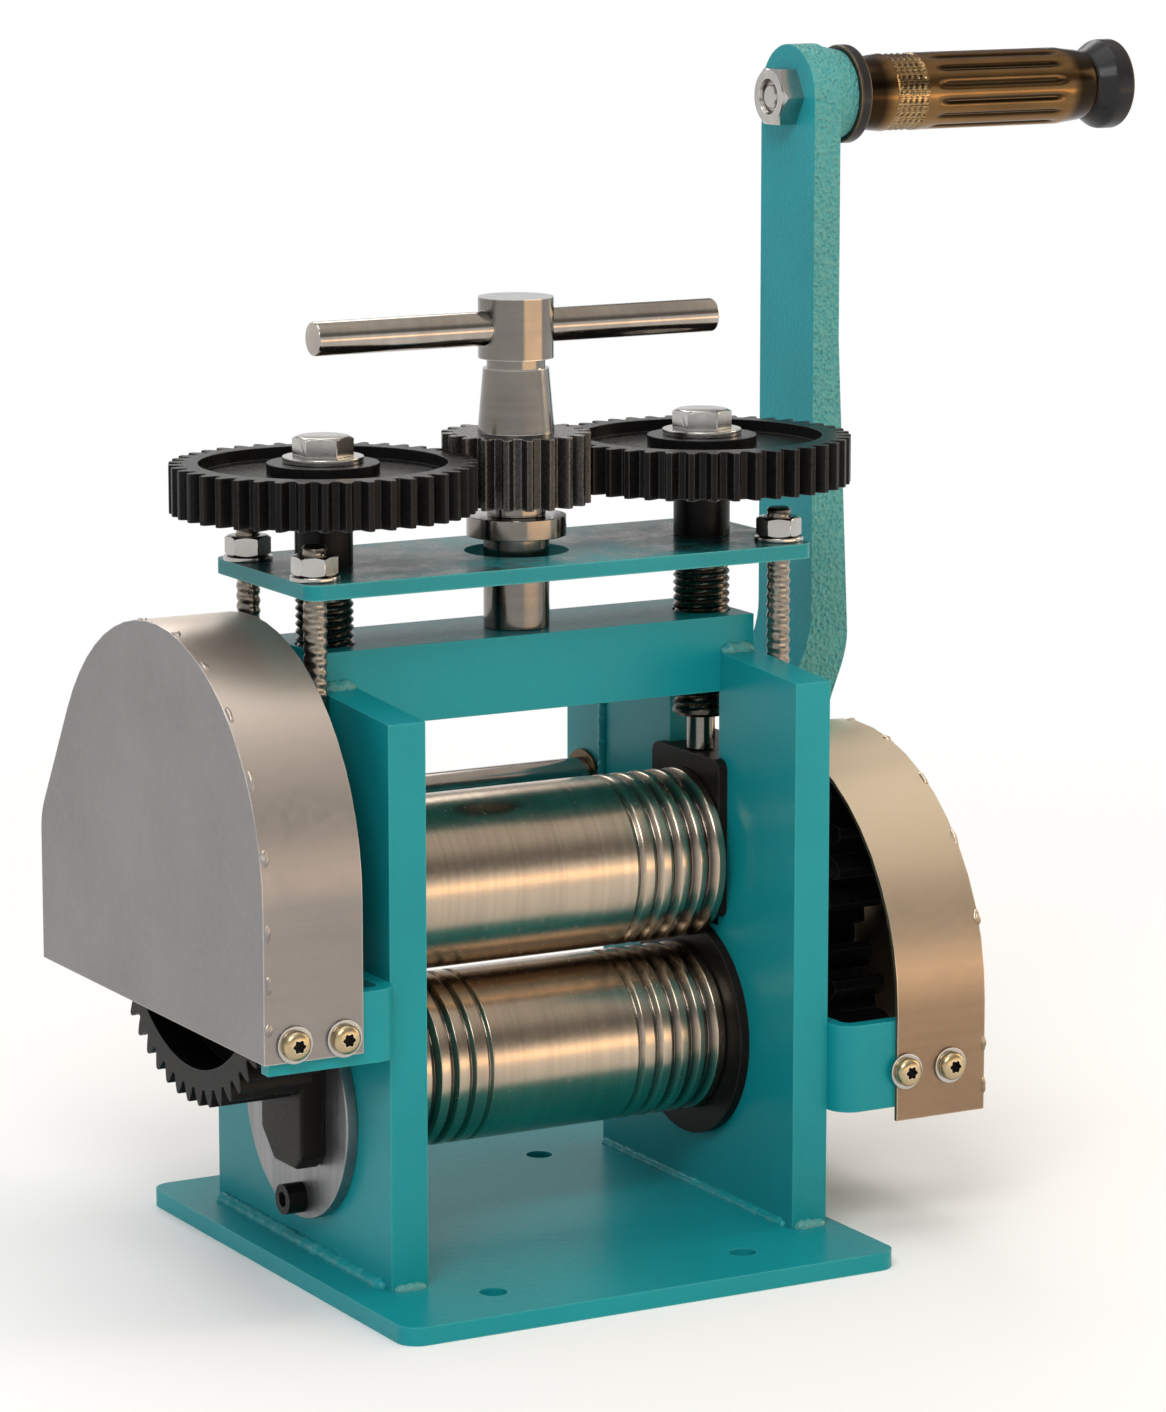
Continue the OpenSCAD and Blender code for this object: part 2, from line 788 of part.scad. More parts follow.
// bushes of the crank shaft, flanged on the inside
module crank_bushes() {
  color([0.2, 0.18, 0.15]) place() both_sides()
    translate([plate_in - bush_flange, crank_dy, crank_z]) rotate([0, 90, 0]) difference() {
      union() {
        cylinder(d = crank_bush_d + 2 * bush_flange, h = bush_flange);
        cylinder(d = crank_bush_d, h = bush_flange + plate_t);
      }
      translate([0, 0, -cut])
        cylinder(d = shaft_journal_d + 2 * run_fit, h = bush_flange + plate_t + 2 * cut);
    }
}

// top plate that rides up and down with the screws
module top_plate() {
  color([0.08, 0.6, 0.62]) place() translate([0, 0, top_z]) linear_extrude(top_t)
    difference() {
      round_rect(top_w, top_d, top_r);
      for (sx = [-1, 1]) translate([sx * screw_dx, 0]) circle(d = carry_d + 2 * slide);
      circle(d = post_hole_d);
      for (sx = [-1, 1], sy = [-1, 1])
        translate([sx * stud_x, sy * stud_dy]) circle(d = stud_d + loose);
    }
}

// lifting studs with nuts and washers on the top plate
module at_studs(z) {
  for (sx = [-1, 1], sy = [-1, 1]) translate([sx * stud_x, sy * stud_dy, z]) children();
}

module lifting_studs() {
  color([0.7, 0.7, 0.72]) place() at_studs(stud_low)
    cylinder(d = stud_d, h = top_up + stud_washer_t + nut_h + stud_over - stud_low);
}

module stud_nuts() {
  color([0.75, 0.75, 0.77]) place() at_studs(top_up + stud_washer_t) difference() {
    cylinder(d = nut_w / cos(30), h = nut_h, $fn = 6);
    translate([0, 0, -cut]) cylinder(d = stud_d + 2 * run_fit, h = nut_h + 2 * cut);
  }
}

module stud_washers() {
  color([0.7, 0.7, 0.7]) place() at_studs(top_up)
    ring(stud_washer_d, stud_d + loose, stud_washer_t);
}

// upper bearing blocks: flange inside, body through the slot
module bearing_block() {
  difference() {
    union() {
      translate([bearing_in, 0, (block_low + block_top) / 2]) rotate([90, 0, 90])
        linear_extrude(flange_t - slide) round_rect(block_w, block_top - block_low, block_r);
      translate([bearing_in, -block_body_w / 2, block_low])
        cube([block_out - bearing_in, block_body_w, block_top - block_low]);
    }
    rod_x(bush_d + 2 * run_fit, block_out - bearing_in + 2 * cut, bearing_in - cut, 0,
      upper_z);
    for (sy = [-1, 1])
      rod_x(lug_screw_d, lug_screw_l + cut, block_out - lug_screw_l, sy * lug_screw_dy,
        block_top - lug_t / 2);
  }
}

module right_bearing_block() {
  color([0.1, 0.1, 0.11]) place() bearing_block();
}

module left_bearing_block() {
  color([0.1, 0.1, 0.11]) place() mirror([1, 0, 0]) bearing_block();
}

// lugs on the blocks' outer ends that take the studs
module lifting_lugs() {
  color([0.12, 0.12, 0.13]) place() both_sides() difference() {
    translate([block_out, -lug_d / 2, block_top - lug_t]) cube([lug_w, lug_d, lug_t]);
    for (sy = [-1, 1]) {
      translate([stud_x, sy * stud_dy, stud_low])
        cylinder(d = stud_d + 2 * run_fit, h = lug_t + cut);
      rod_x(lug_screw_d + loose, lug_w + 2 * cut, block_out - cut, sy * lug_screw_dy,
        block_top - lug_t / 2);
      rod_x(lug_head_d + loose, lug_head_h + cut, block_out + lug_w - lug_head_h,
        sy * lug_screw_dy, block_top - lug_t / 2);
    }
  }
}

module lug_screws() {
  color([0.1, 0.1, 0.1]) place() both_sides() for (sy = [-1, 1]) union() {
    rod_x(lug_head_d, lug_head_h, block_out + lug_w - lug_head_h, sy * lug_screw_dy,
      block_top - lug_t / 2);
    rod_x(lug_screw_d, lug_screw_l + lug_w - lug_head_h / 2, block_out - lug_screw_l,
      sy * lug_screw_dy, block_top - lug_t / 2);
  }
}

// roller bushes
module roller_bush(z) {
  translate([bearing_in, 0, z]) rotate([0, 90, 0])
    ring(bush_d, journal_d + 2 * run_fit, plate_out - bearing_in);
}

module upper_bushes() {
  color([0.6, 0.45, 0.2]) place() both_sides() roller_bush(upper_z);
}

module lower_bushes() {
  color([0.6, 0.45, 0.2]) place() both_sides() roller_bush(lower_z);
}

// rollers: turned in one piece with their journals, V grooves for wire
function grooves(n, first, dir) =
  [for (i = [0:n - 1]) let(
      k = dir > 0 ? i : n - 1 - i,
      depth = groove_depth * (1 - groove_fade_share * k),
      at = first + groove_pitch * (i + 1 / 2)
    ) each [[roller_d / 2, at - depth], [roller_d / 2 - depth, at], [roller_d / 2, at + depth]]];

module roller(left_end, left_seat, right_seat, right_end, left_n, right_n) {
  rotate([0, 90, 0]) rotate_extrude($fn = fine) polygon(concat(
    [
      [0, -left_end], [seat_d / 2, -left_end], [seat_d / 2, -left_seat],
      [journal_d / 2, -left_seat], [journal_d / 2, -roller_len / 2],
      [roller_d / 2, -roller_len / 2]
    ],
    left_n > 0 ? grooves(left_n, groove_margin - roller_len / 2, 1) : [],
    grooves(right_n, roller_len / 2 - groove_margin - right_n * groove_pitch, -1),
    [
      [roller_d / 2, roller_len / 2], [journal_d / 2, roller_len / 2],
      [journal_d / 2, right_seat], [seat_d / 2, right_seat], [seat_d / 2, right_end],
      [0, right_end]
    ]
  ));
}

// what the flat of a keyed seat takes away, along X
module seat_flat(d, x0, l) {
  translate([x0, -d, d * flat_share]) cube([l, 2 * d, d]);
}

module bolt_hole_x(d, x0, l) {
  rod_x(d, l, x0, 0, 0);
}

module upper_roller() {
  color([0.72, 0.72, 0.74]) place() translate([0, 0, upper_z]) difference() {
    roller(drive_end, drive_in, sync_in, sync_end, 0, groove_n);
    seat_flat(seat_d, -drive_end - cut, drive_end - drive_in + cut);
    seat_flat(seat_d, sync_in, sync_end - sync_in + cut);
    bolt_hole_x(seat_bolt_d, -drive_end - cut, seat_bolt_l + cut);
    bolt_hole_x(seat_bolt_d, sync_end - seat_bolt_l, seat_bolt_l + cut);
  }
}

module lower_roller() {
  color([0.7, 0.7, 0.72]) place() translate([0, 0, lower_z]) difference() {
    roller(plate_out - roller_play, plate_out - 2 * roller_play, sync_in, sync_end,
      groove_left_n, groove_n);
    seat_flat(seat_d, sync_in, sync_end - sync_in + cut);
    bolt_hole_x(seat_bolt_d, sync_end - seat_bolt_l, seat_bolt_l + cut);
  }
}

// keyed bore through a gear that stands on the YZ plane at x0
module keyed_bore(d, x0, l, y0, z0) {
  translate([0, y0, z0]) slab_x(x0 - cut, l + 2 * cut) keyed(d + 2 * run_fit);
}

module groove_ring(outer_d, inner_d, depth, x0, y0, z0) {
  translate([x0, y0, z0]) rotate([0, 90, 0]) difference() {
    cylinder(d = outer_d, h = depth);
    translate([0, 0, -cut]) cylinder(d = inner_d, h = depth + 2 * cut);
  }
}

module drive_gear() {
  color([0.09, 0.09, 0.1]) place() difference() {
    slab_x(-drive_in - drive_w, drive_w) translate([0, upper_z])
      gear_outline(drive_r, drive_n, drive_add, drive_ded, drive_angle, drive_line);
    groove_ring(drive_recess_d, drive_hub_d, drive_recess + cut, -drive_in - drive_w - cut, 0,
      upper_z);
    groove_ring(drive_recess_d, drive_hub_d, drive_w - drive_recess - drive_web + cut,
      -drive_in - drive_w + drive_recess + drive_web, 0, upper_z);
    keyed_bore(seat_d, -drive_in - drive_w, drive_w, 0, upper_z);
  }
}

module upper_roller_gear() {
  color([0.12, 0.12, 0.13]) place() difference() {
    slab_x(sync_in, sync_w) translate([0, upper_z])
      gear_outline(sync_r, sync_n, sync_add, sync_ded, sync_angle, -90);
    keyed_bore(seat_d, sync_in, sync_w, 0, upper_z);
  }
}

module lower_roller_gear() {
  color([0.12, 0.12, 0.13]) place() difference() {
    slab_x(sync_in, sync_w) translate([0, lower_z])
      gear_outline(sync_r, sync_n, sync_add, sync_ded, sync_angle, 90 + 180 / sync_n);
    keyed_bore(seat_d, sync_in, sync_w, 0, lower_z);
  }
}

module seat_bolt(x0, z0, dir) {
  translate([x0, 0, z0]) rotate([0, dir * 90, 0])
    flange_bolt(seat_bolt_d, seat_bolt_w, seat_bolt_h, seat_flange_d, seat_bolt_l);
}

module drive_gear_bolt() {
  color([0.2, 0.2, 0.2]) place() seat_bolt(-drive_in - drive_w, upper_z, -1);
}

module upper_gear_bolt() {
  color([0.2, 0.2, 0.2]) place() seat_bolt(sync_in + sync_w, upper_z, 1);
}

module lower_gear_bolt() {
  color([0.2, 0.2, 0.2]) place() seat_bolt(sync_in + sync_w, lower_z, 1);
}

// crank shaft with its pinion, arm and handle
module at_crank() {
  place() translate([0, crank_dy, crank_z]) children();
}

module crank_shaft() {
  color([0.66, 0.64, 0.62]) at_crank() difference() {
    rotate([0, 90, 0]) rotate_extrude() polygon([
      [0, -pinion_end], [pinion_seat_d / 2, -pinion_end], [pinion_seat_d / 2, -pinion_in],
      [shaft_journal_d / 2, -pinion_in], [shaft_journal_d / 2, -shaft_in],
      [shaft_d / 2, -shaft_in], [shaft_d / 2, shaft_in], [shaft_journal_d / 2, shaft_in],
      [shaft_journal_d / 2, arm_x], [pinion_seat_d / 2, arm_x],
      [pinion_seat_d / 2, hub_end], [0, hub_end]
    ]);
    seat_flat(pinion_seat_d, -pinion_end - cut, pinion_end - pinion_in + cut);
    seat_flat(pinion_seat_d, arm_x, hub_end - arm_x + cut);
    bolt_hole_x(shaft_bolt_d, -pinion_end - cut, shaft_bolt_l + cut);
    bolt_hole_x(shaft_bolt_d, hub_end - shaft_bolt_l, shaft_bolt_l + cut);
  }
}

module drive_pinion() {
  color([0.12, 0.12, 0.13]) at_crank() difference() {
    slab_x(-pinion_in - pinion_w, pinion_w)
      gear_outline(drive_pinion_r, drive_pinion_n, drive_add, drive_ded, drive_angle,
        drive_line + 180 + 180 / drive_pinion_n);
    keyed_bore(pinion_seat_d, -pinion_in - pinion_w, pinion_w, 0, 0);
  }
}

module pinion_bolt() {
  color([0.2, 0.2, 0.2]) at_crank() translate([-pinion_in - pinion_w, 0, 0])
    rotate([0, -90, 0])
      flange_bolt(shaft_bolt_d, shaft_bolt_w, shaft_bolt_h, shaft_flange_d, shaft_bolt_l);
}

module hub_bolt() {
  color([0.3, 0.3, 0.3]) at_crank() translate([arm_x + hub_w, 0, 0]) rotate([0, 90, 0])
    flange_bolt(shaft_bolt_d, shaft_bolt_w, shaft_bolt_h, shaft_flange_d, shaft_bolt_l);
}

// crank arm: outline seen along X crossed with its bent profile seen along Y
module arm_outline() {
  union() {
    translate([-arm_w / 2, 0]) square([arm_w, crank_r]);
    circle(d = hub_d);
    translate([0, crank_r]) circle(d = arm_w);
  }
}

// side of the profile from the hub up through the bend
function bend_side(x, low) = [
  for (i = [0 : bend_steps])
    [x + arm_set * (1 - cos(180 * i / bend_steps)) / 2, low + bend_h * i / bend_steps]
];

module arm_profile() {
  inner = bend_side(arm_x, bend_low + bend_lead);
  outer = bend_side(arm_x + arm_t, bend_low);
  polygon(concat(
    [[arm_x, -hub_d]], inner,
    [[arm_out, crank_r + hub_d], [arm_out + arm_tip_t, crank_r + hub_d]],
    [[arm_out + arm_tip_t, taper_top]],
    [for (i = [0 : bend_steps]) outer[bend_steps - i]],
    [[arm_x + arm_t, -hub_d]]
  ));
}

module crank_arm() {
  color([0.06, 0.45, 0.5]) at_crank() difference() {
    union() {
      intersection() {
        slab_x(arm_x, arm_set + arm_t) arm_outline();
        translate([0, hub_d, 0]) rotate([90, 0, 0]) linear_extrude(2 * hub_d) arm_profile();
      }
      rod_x(hub_d, hub_w, arm_x, 0, 0);
      translate([arm_out, 0, crank_r]) rotate([0, 90, 0]) union() {
        cylinder(d = arm_w, h = arm_tip_t);
        translate([0, 0, arm_tip_t]) cylinder(d1 = arm_w - boss_step, d2 = boss_d, h = boss_h);
      }
    }
    keyed_bore(pinion_seat_d, arm_x, hub_w, 0, 0);
    rod_x(spindle_d + 2 * run_fit, boss_end - arm_out + 2 * cut, arm_out - cut, 0, crank_r);
  }
}

// handle: spindle with its nut, grip with two dark ends
module handle_nut() {
  color([0.2, 0.2, 0.21]) at_crank() translate([arm_out - handle_nut_h, 0, crank_r])
    rotate([0, 90, 0]) difference() {
      cylinder(d = handle_nut_w / cos(30), h = handle_nut_h, $fn = 6);
      translate([0, 0, -cut]) cylinder(d = spindle_d + 2 * run_fit, h = handle_nut_h + 2 * cut);
    }
}

module handle_spindle() {
  color([0.6, 0.6, 0.6]) at_crank() translate([0, 0, crank_r]) union() {
    rod_x(spindle_d, spindle_out - spindle_in + spindle_head_h / 2, spindle_in, 0, 0);
    rod_x(spindle_head_d, spindle_head_h, spindle_out, 0, 0);
  }
}

module at_grip(x0) {
  at_crank() translate([x0, 0, crank_r]) rotate([0, 90, 0]) children();
}

module grip_flange() {
  color([0.05, 0.05, 0.05]) at_grip(grip_x)
    ring(grip_flange_d, spindle_d + 2 * run_fit, grip_flange_w);
}

module grip() {
  color([0.3, 0.2, 0.12]) at_grip(grip_x + grip_flange_w) difference() {
    rotate_extrude() polygon([
      [0, 0], [grip_neck_d / 2, 0], [grip_d / 2, grip_taper],
      [grip_d / 2, grip_mid - grip_taper], [grip_neck_d / 2, grip_mid], [0, grip_mid]
    ]);
    translate([0, 0, -cut]) cylinder(d = spindle_d + 2 * run_fit, h = grip_mid + 2 * cut);
  }
}

module grip_end() {
  color([0.05, 0.05, 0.05]) at_grip(grip_x + grip_len - grip_end_w) difference() {
    rotate_extrude() polygon([
      [0, 0], [grip_neck_d / 2, 0], [grip_end_d / 2, grip_flare],
      [grip_end_d / 2, grip_end_w], [0, grip_end_w]
    ]);
    translate([0, 0, -cut]) cylinder(d = spindle_d + 2 * run_fit, h = grip_end_w + 2 * cut);
    translate([0, 0, grip_end_w - spindle_pocket])
      cylinder(d = spindle_head_d + 2 * loose, h = spindle_pocket + cut);
  }
}

// centre shaft: pivot in the beam, collar above the top plate, seats for pinion and head
module centre_shaft() {
  color([0.68, 0.68, 0.7]) place() difference() {
    rotate_extrude() polygon([
      [0, ring_top - ring_t - pivot_end], [pivot_d / 2, ring_top - ring_t - pivot_end],
      [pivot_d / 2, ring_top - ring_t], [pivot_d / 2 - pivot_groove, ring_top - ring_t],
      [pivot_d / 2 - pivot_groove, ring_top], [pivot_d / 2, ring_top],
      [pivot_d / 2, beam_top + slide], [post_d / 2, beam_top + slide],
      [post_d / 2, shaft_collar_low], [shaft_collar_d / 2, shaft_collar_low],
      [shaft_collar_d / 2, shaft_collar_low + shaft_collar_h],
      [neck_d / 2, shaft_collar_low + shaft_collar_h], [neck_d / 2, centre_low],
      [centre_seat_d / 2, centre_low], [centre_seat_d / 2, centre_top + seat_in_cone],
      [0, centre_top + seat_in_cone]
    ]);
    translate([-neck_d, centre_seat_d * flat_share, centre_low])
      cube([2 * neck_d, neck_d, centre_w + seat_in_cone + cut]);
  }
}

module retaining_ring() {
  color([0.3, 0.3, 0.3]) place() translate([0, 0, ring_top - ring_t])
    ring(ring_d, pivot_d - 2 * pivot_groove, ring_t);
}

module centre_pinion() {
  color([0.1, 0.1, 0.11]) place() translate([0, 0, centre_low]) linear_extrude(centre_w)
    difference() {
      gear_outline(centre_r, centre_n, adjust_add, adjust_ded, adjust_angle, 0);
      keyed(centre_seat_d + 2 * run_fit);
    }
}

module tee_head() {
  color([0.7, 0.68, 0.65]) place() translate([0, 0, centre_top]) difference() {
    rotate_extrude() polygon([
      [0, 0], [cone_low_d / 2, 0], [cone_high_d / 2, cone_h], [tee_neck_d / 2, cone_h],
      [tee_neck_d / 2, cone_h + tee_neck_h], [head_d / 2, cone_h + tee_neck_h],
      [head_d / 2, cone_h + tee_neck_h + head_h], [0, cone_h + tee_neck_h + head_h]
    ]);
    translate([0, 0, -cut]) linear_extrude(seat_in_cone + 2 * cut)
      keyed(centre_seat_d + 2 * run_fit);
    rod_x(bar_d + loose, head_d + 2 * cut, -head_d / 2 - cut, 0, bar_z - centre_top);
  }
}

module tee_bar() {
  color([0.75, 0.73, 0.7]) place() rod_x(bar_d, bar_len, -bar_len / 2, 0, bar_z);
}

// adjusting screws, threaded in the beam, each with its sleeve and gear
module screw(side) {
  place() translate([side * screw_dx, 0, 0]) difference() {
    rotate_extrude() polygon([
      [0, block_top + slide], [tip_d / 2, block_top + slide], [tip_d / 2, block_top + tip_h],
      [screw_d / 2, block_top + tip_h], [screw_d / 2, top_z - relief_h],
      [relief_d / 2, top_z - relief_h], [relief_d / 2, top_z - slide],
      [carry_d / 2, top_z - slide], [carry_d / 2, top_up + slide],
      [adjust_seat_d / 2, top_up + slide], [adjust_seat_d / 2, adjust_top - seat_short],
      [0, adjust_top - seat_short]
    ]);
    translate([-adjust_seat_d, adjust_seat_d * flat_share, adjust_low])
      cube([2 * adjust_seat_d, adjust_seat_d, adjust_w + cut]);
    translate([0, 0, adjust_top + gear_washer_t - gear_bolt_l])
      cylinder(d = gear_bolt_d, h = gear_bolt_l);
  }
}

module left_screw() {
  color([0.35, 0.35, 0.37]) screw(-1);
}

module right_screw() {
  color([0.35, 0.35, 0.37]) screw(1);
}

module adjust_gear(side) {
  place() translate([side * screw_dx, 0, adjust_low]) difference() {
    linear_extrude(adjust_w) difference() {
      gear_outline(adjust_r, adjust_n, adjust_add, adjust_ded, adjust_angle,
        (side > 0 ? 180 : 0) + 180 / adjust_n);
      keyed(adjust_seat_d + 2 * run_fit);
    }
    translate([0, 0, adjust_w - adjust_recess])
      ring(adjust_recess_d, adjust_hub_d, adjust_recess + cut);
  }
}

module left_adjust_gear() {
  color([0.1, 0.1, 0.11]) adjust_gear(-1);
}

module right_adjust_gear() {
  color([0.1, 0.1, 0.11]) adjust_gear(1);
}

module sleeve(side) {
  place() translate([side * screw_dx, 0, top_up + slide])
    ring(sleeve_d, adjust_seat_d + 2 * run_fit, sleeve_h - slide);
}

module left_sleeve() {
  color([0.12, 0.12, 0.12]) sleeve(-1);
}

module right_sleeve() {
  color([0.12, 0.12, 0.12]) sleeve(1);
}

module gear_bolt(side) {
  place() translate([side * screw_dx, 0, adjust_top + gear_washer_t]) union() {
    cylinder(d = gear_bolt_w / cos(30), h = gear_bolt_h, $fn = 6);
    translate([0, 0, -gear_bolt_l]) cylinder(d = gear_bolt_d, h = gear_bolt_l + cut);
  }
}

module left_gear_bolt() {
  color([0.15, 0.15, 0.16]) gear_bolt(-1);
}

module right_gear_bolt() {
  color([0.15, 0.15, 0.16]) gear_bolt(1);
}

module gear_washer(side) {
  place() translate([side * screw_dx, 0, adjust_top])
    ring(gear_washer_d, gear_bolt_d + loose, gear_washer_t);
}

module left_gear_washer() {
  color([0.3, 0.3, 0.31]) gear_washer(-1);
}

module right_gear_washer() {
  color([0.3, 0.3, 0.31]) gear_washer(1);
}

base_plate();
left_side_plate();
right_side_plate();
top_beam();
shaft_bars();
left_cover_bracket();
right_cover_bracket();
left_gear_cover();
right_gear_cover();
cover_screws();
cover_washers();
lower_housings();
keeper_disc();
keeper_screw();
bearing_cap();
crank_bushes();
top_plate();
lifting_studs();
stud_nuts();
stud_washers();
left_bearing_block();
right_bearing_block();
lifting_lugs();
lug_screws();
upper_bushes();
lower_bushes();
upper_roller();
drive_gear();
upper_roller_gear();
drive_gear_bolt();
upper_gear_bolt();
lower_roller();
lower_roller_gear();
lower_gear_bolt();
crank_shaft();
drive_pinion();
pinion_bolt();
crank_arm();
hub_bolt();
handle_spindle();
handle_nut();
grip();
grip_flange();
grip_end();
centre_shaft();
centre_pinion();
tee_head();
tee_bar();
retaining_ring();
left_screw();
right_screw();
left_adjust_gear();
right_adjust_gear();
left_sleeve();
right_sleeve();
left_gear_bolt();
right_gear_bolt();
left_gear_washer();
right_gear_washer();
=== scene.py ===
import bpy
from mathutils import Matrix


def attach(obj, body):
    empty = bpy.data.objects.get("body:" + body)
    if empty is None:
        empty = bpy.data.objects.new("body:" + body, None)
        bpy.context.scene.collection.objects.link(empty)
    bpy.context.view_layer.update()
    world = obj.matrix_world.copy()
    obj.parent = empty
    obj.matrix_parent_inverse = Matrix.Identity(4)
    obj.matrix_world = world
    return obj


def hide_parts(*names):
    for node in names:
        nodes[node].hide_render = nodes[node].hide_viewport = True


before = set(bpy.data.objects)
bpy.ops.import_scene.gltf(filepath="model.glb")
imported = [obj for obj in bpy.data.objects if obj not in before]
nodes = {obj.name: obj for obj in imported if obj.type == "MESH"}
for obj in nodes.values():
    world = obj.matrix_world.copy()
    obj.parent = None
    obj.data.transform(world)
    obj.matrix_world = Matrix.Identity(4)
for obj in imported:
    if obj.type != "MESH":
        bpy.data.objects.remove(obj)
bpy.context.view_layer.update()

import math

import bpy
from mathutils import Euler, Vector

mm = 0.001

viewpoint = {
    "place": (-0.80505, -1.48583, 0.48940),
    "turn": 29.182,   # degrees towards +X
    "tilt": 10.445,   # degrees down
    "lens": 135.59,
    "film": 36.0,     # along the longer side of a 1166 x 1412 picture
    "clip": (0.05, 20),
}


def addCamera():
    data = bpy.data.cameras.new("millCamera")
    data.sensor_fit = "VERTICAL"
    data.sensor_height = viewpoint["film"]
    data.sensor_width = viewpoint["film"]
    data.lens = viewpoint["lens"]
    data.clip_start, data.clip_end = viewpoint["clip"]
    camera = bpy.data.objects.new("millCamera", data)
    camera.location = viewpoint["place"]
    camera.rotation_euler = Euler(
        (math.radians(90 - viewpoint["tilt"]), 0, math.radians(-viewpoint["turn"])))
    bpy.context.scene.collection.objects.link(camera)
    bpy.context.scene.camera = camera


addCamera()
print("camera is set")


# small helpers for node trees
def addNode(tree, kind, spot, inputs=None, **settings):
    # an input is a value, or the socket of another node that is linked to it
    item = tree.nodes.new(kind)
    item.location = (spot[0] * 200, spot[1] * 200)
    for key, value in settings.items():
        setattr(item, key, value)
    for key, value in (inputs or {}).items():
        if isinstance(value, bpy.types.NodeSocket):
            tree.links.new(value, item.inputs[key])
        else:
            item.inputs[key].default_value = value
    return item


def calculate(tree, spot, operation, *values, clamp=False):
    return addNode(tree, "ShaderNodeMath", spot, dict(enumerate(values)),
                   operation=operation, use_clamp=clamp).outputs[0]


def calculateVector(tree, spot, operation, *values):
    item = addNode(tree, "ShaderNodeVectorMath", spot, dict(enumerate(values)), operation=operation)
    return item.outputs["Value" if operation in ("LENGTH", "DOT_PRODUCT") else "Vector"]


def addRange(tree, spot, value, low, high, start=0.0, end=1.0, **settings):
    return addNode(tree, "ShaderNodeMapRange", spot, {
        "Value": value, "From Min": low, "From Max": high, "To Min": start, "To Max": end},
        **settings).outputs[0]


def addNoise(tree, spot, vector, scale, detail, roughness):
    return addNode(tree, "ShaderNodeTexNoise", spot, {
        "Vector": vector, "Scale": scale, "Detail": detail, "Roughness": roughness}).outputs[0]


def splitPlace(tree, spot, source):
    # the shares of a texture coordinate along X, Y and Z
    place = addNode(tree, "ShaderNodeTexCoord", spot).outputs[source]
    return addNode(tree, "ShaderNodeSeparateXYZ", (spot[0] + 1, spot[1]), {0: place}).outputs


def newGroup(name, inputs, outputs):
    # an input without a starting value is a vector, every other socket is a number
    group = bpy.data.node_groups.new(name, "ShaderNodeTree")
    for label, start in inputs.items():
        kind = "NodeSocketVector" if start is None else "NodeSocketFloat"
        socket = group.interface.new_socket(label, in_out="INPUT", socket_type=kind)
        if start is not None:
            socket.default_value = start
    for label in outputs:
        group.interface.new_socket(label, in_out="OUTPUT", socket_type="NodeSocketFloat")
    return group, addNode(group, "NodeGroupInput", (-5, 0)).outputs


def closeGroup(group, **results):
    addNode(group, "NodeGroupOutput", (5, 0), results)
    return group


def makeEdgeWear():
    # bare metal where a corner has been rubbed, broken up by a noise
    group, given = newGroup(
        "edgeWear", {"Vector": None, "Reach": 0.8, "Breakup": 0.6, "Scale": 0.25}, ["Mask"])
    noise = addNoise(group, (-4, -1), given["Vector"], given["Scale"], detail=5.0, roughness=0.65)
    width = calculate(group, (-4, 1), "MULTIPLY", given["Reach"], mm)
    rounded = addNode(group, "ShaderNodeBevel", (-3, 1), {"Radius": width}, samples=6).outputs[0]
    shape = addNode(group, "ShaderNodeNewGeometry", (-3, 2)).outputs["True Normal"]
    turn = calculateVector(group, (-2, 1), "DOT_PRODUCT", rounded, shape)
    corner = addRange(group, (-1, 1), turn, 0.985, 0.84)
    patch = addRange(group, (-2, -1), noise, 0.35, 0.6)
    whole = calculate(group, (-1, 0), "SUBTRACT", 1.0, given["Breakup"])
    blend = calculate(group, (0, -1), "MULTIPLY_ADD", patch, given["Breakup"], whole)
    return closeGroup(group, Mask=calculate(group, (2, 0), "MULTIPLY", corner, blend, clamp=True))


def makeDrift():
    # slow and fast change of tone over a surface
    group, given = newGroup("toneDrift", {"Vector": None, "Scale": 0.03, "Fine": 0.4}, ["Slow", "Fast"])
    slow = addNoise(group, (-2, 1), given["Vector"], given["Scale"], detail=3.0, roughness=0.5)
    fast = addNoise(group, (-2, -1), given["Vector"], given["Fine"], detail=6.0, roughness=0.7)
    return closeGroup(group, Slow=addRange(group, (0, 1), slow, 0.3, 0.7),
                      Fast=addRange(group, (0, -1), fast, 0.3, 0.7))


def makeGrimeAndTopLight():
    # oily film that gathers on surfaces that face up; with a pale tone the same mask is painted light,
    # making the surfaces that face up lighter
    group, given = newGroup(
        "oilyFilmAndTopLight", {"Vector": None, "Scale": 0.05, "Upward": 1.0, "Cover": 0.5}, ["Mask"])
    cloud = addNoise(group, (-4, 0), given["Vector"], given["Scale"], detail=8.0, roughness=0.62)
    least = calculate(group, (-3, -1), "SUBTRACT", 0.8, given["Cover"])
    most = calculate(group, (-2, -1), "ADD", least, 0.28)
    patch = addRange(group, (-1, 0), cloud, least, most)
    top = calculate(group, (-2, 2), "MAXIMUM", splitPlace(group, (-4, 2), "Normal")["Z"], 0.0)
    aside = calculate(group, (-2, 3), "SUBTRACT", 1.0, given["Upward"])
    share = calculate(group, (-1, 2), "MULTIPLY_ADD", top, given["Upward"], aside)
    return closeGroup(group, Mask=calculate(group, (1, 0), "MULTIPLY", patch, share, clamp=True))


def makeToolLines():
    # fine lines left by turning, grinding or brushing; the vector is already stretched
    group, given = newGroup("toolLines", {"Vector": None, "Scale": 3.0}, ["Height", "Streaks"])
    fine = addNoise(group, (-2, 1), given["Vector"], given["Scale"], detail=4.0, roughness=0.7)
    wider = calculate(group, (-3, -1), "MULTIPLY", given["Scale"], 0.2)
    broad = addNoise(group, (-2, -1), given["Vector"], wider, detail=2.0, roughness=0.6)
    return closeGroup(group, Height=fine, Streaks=addRange(group, (0, -1), broad, 0.35, 0.65))


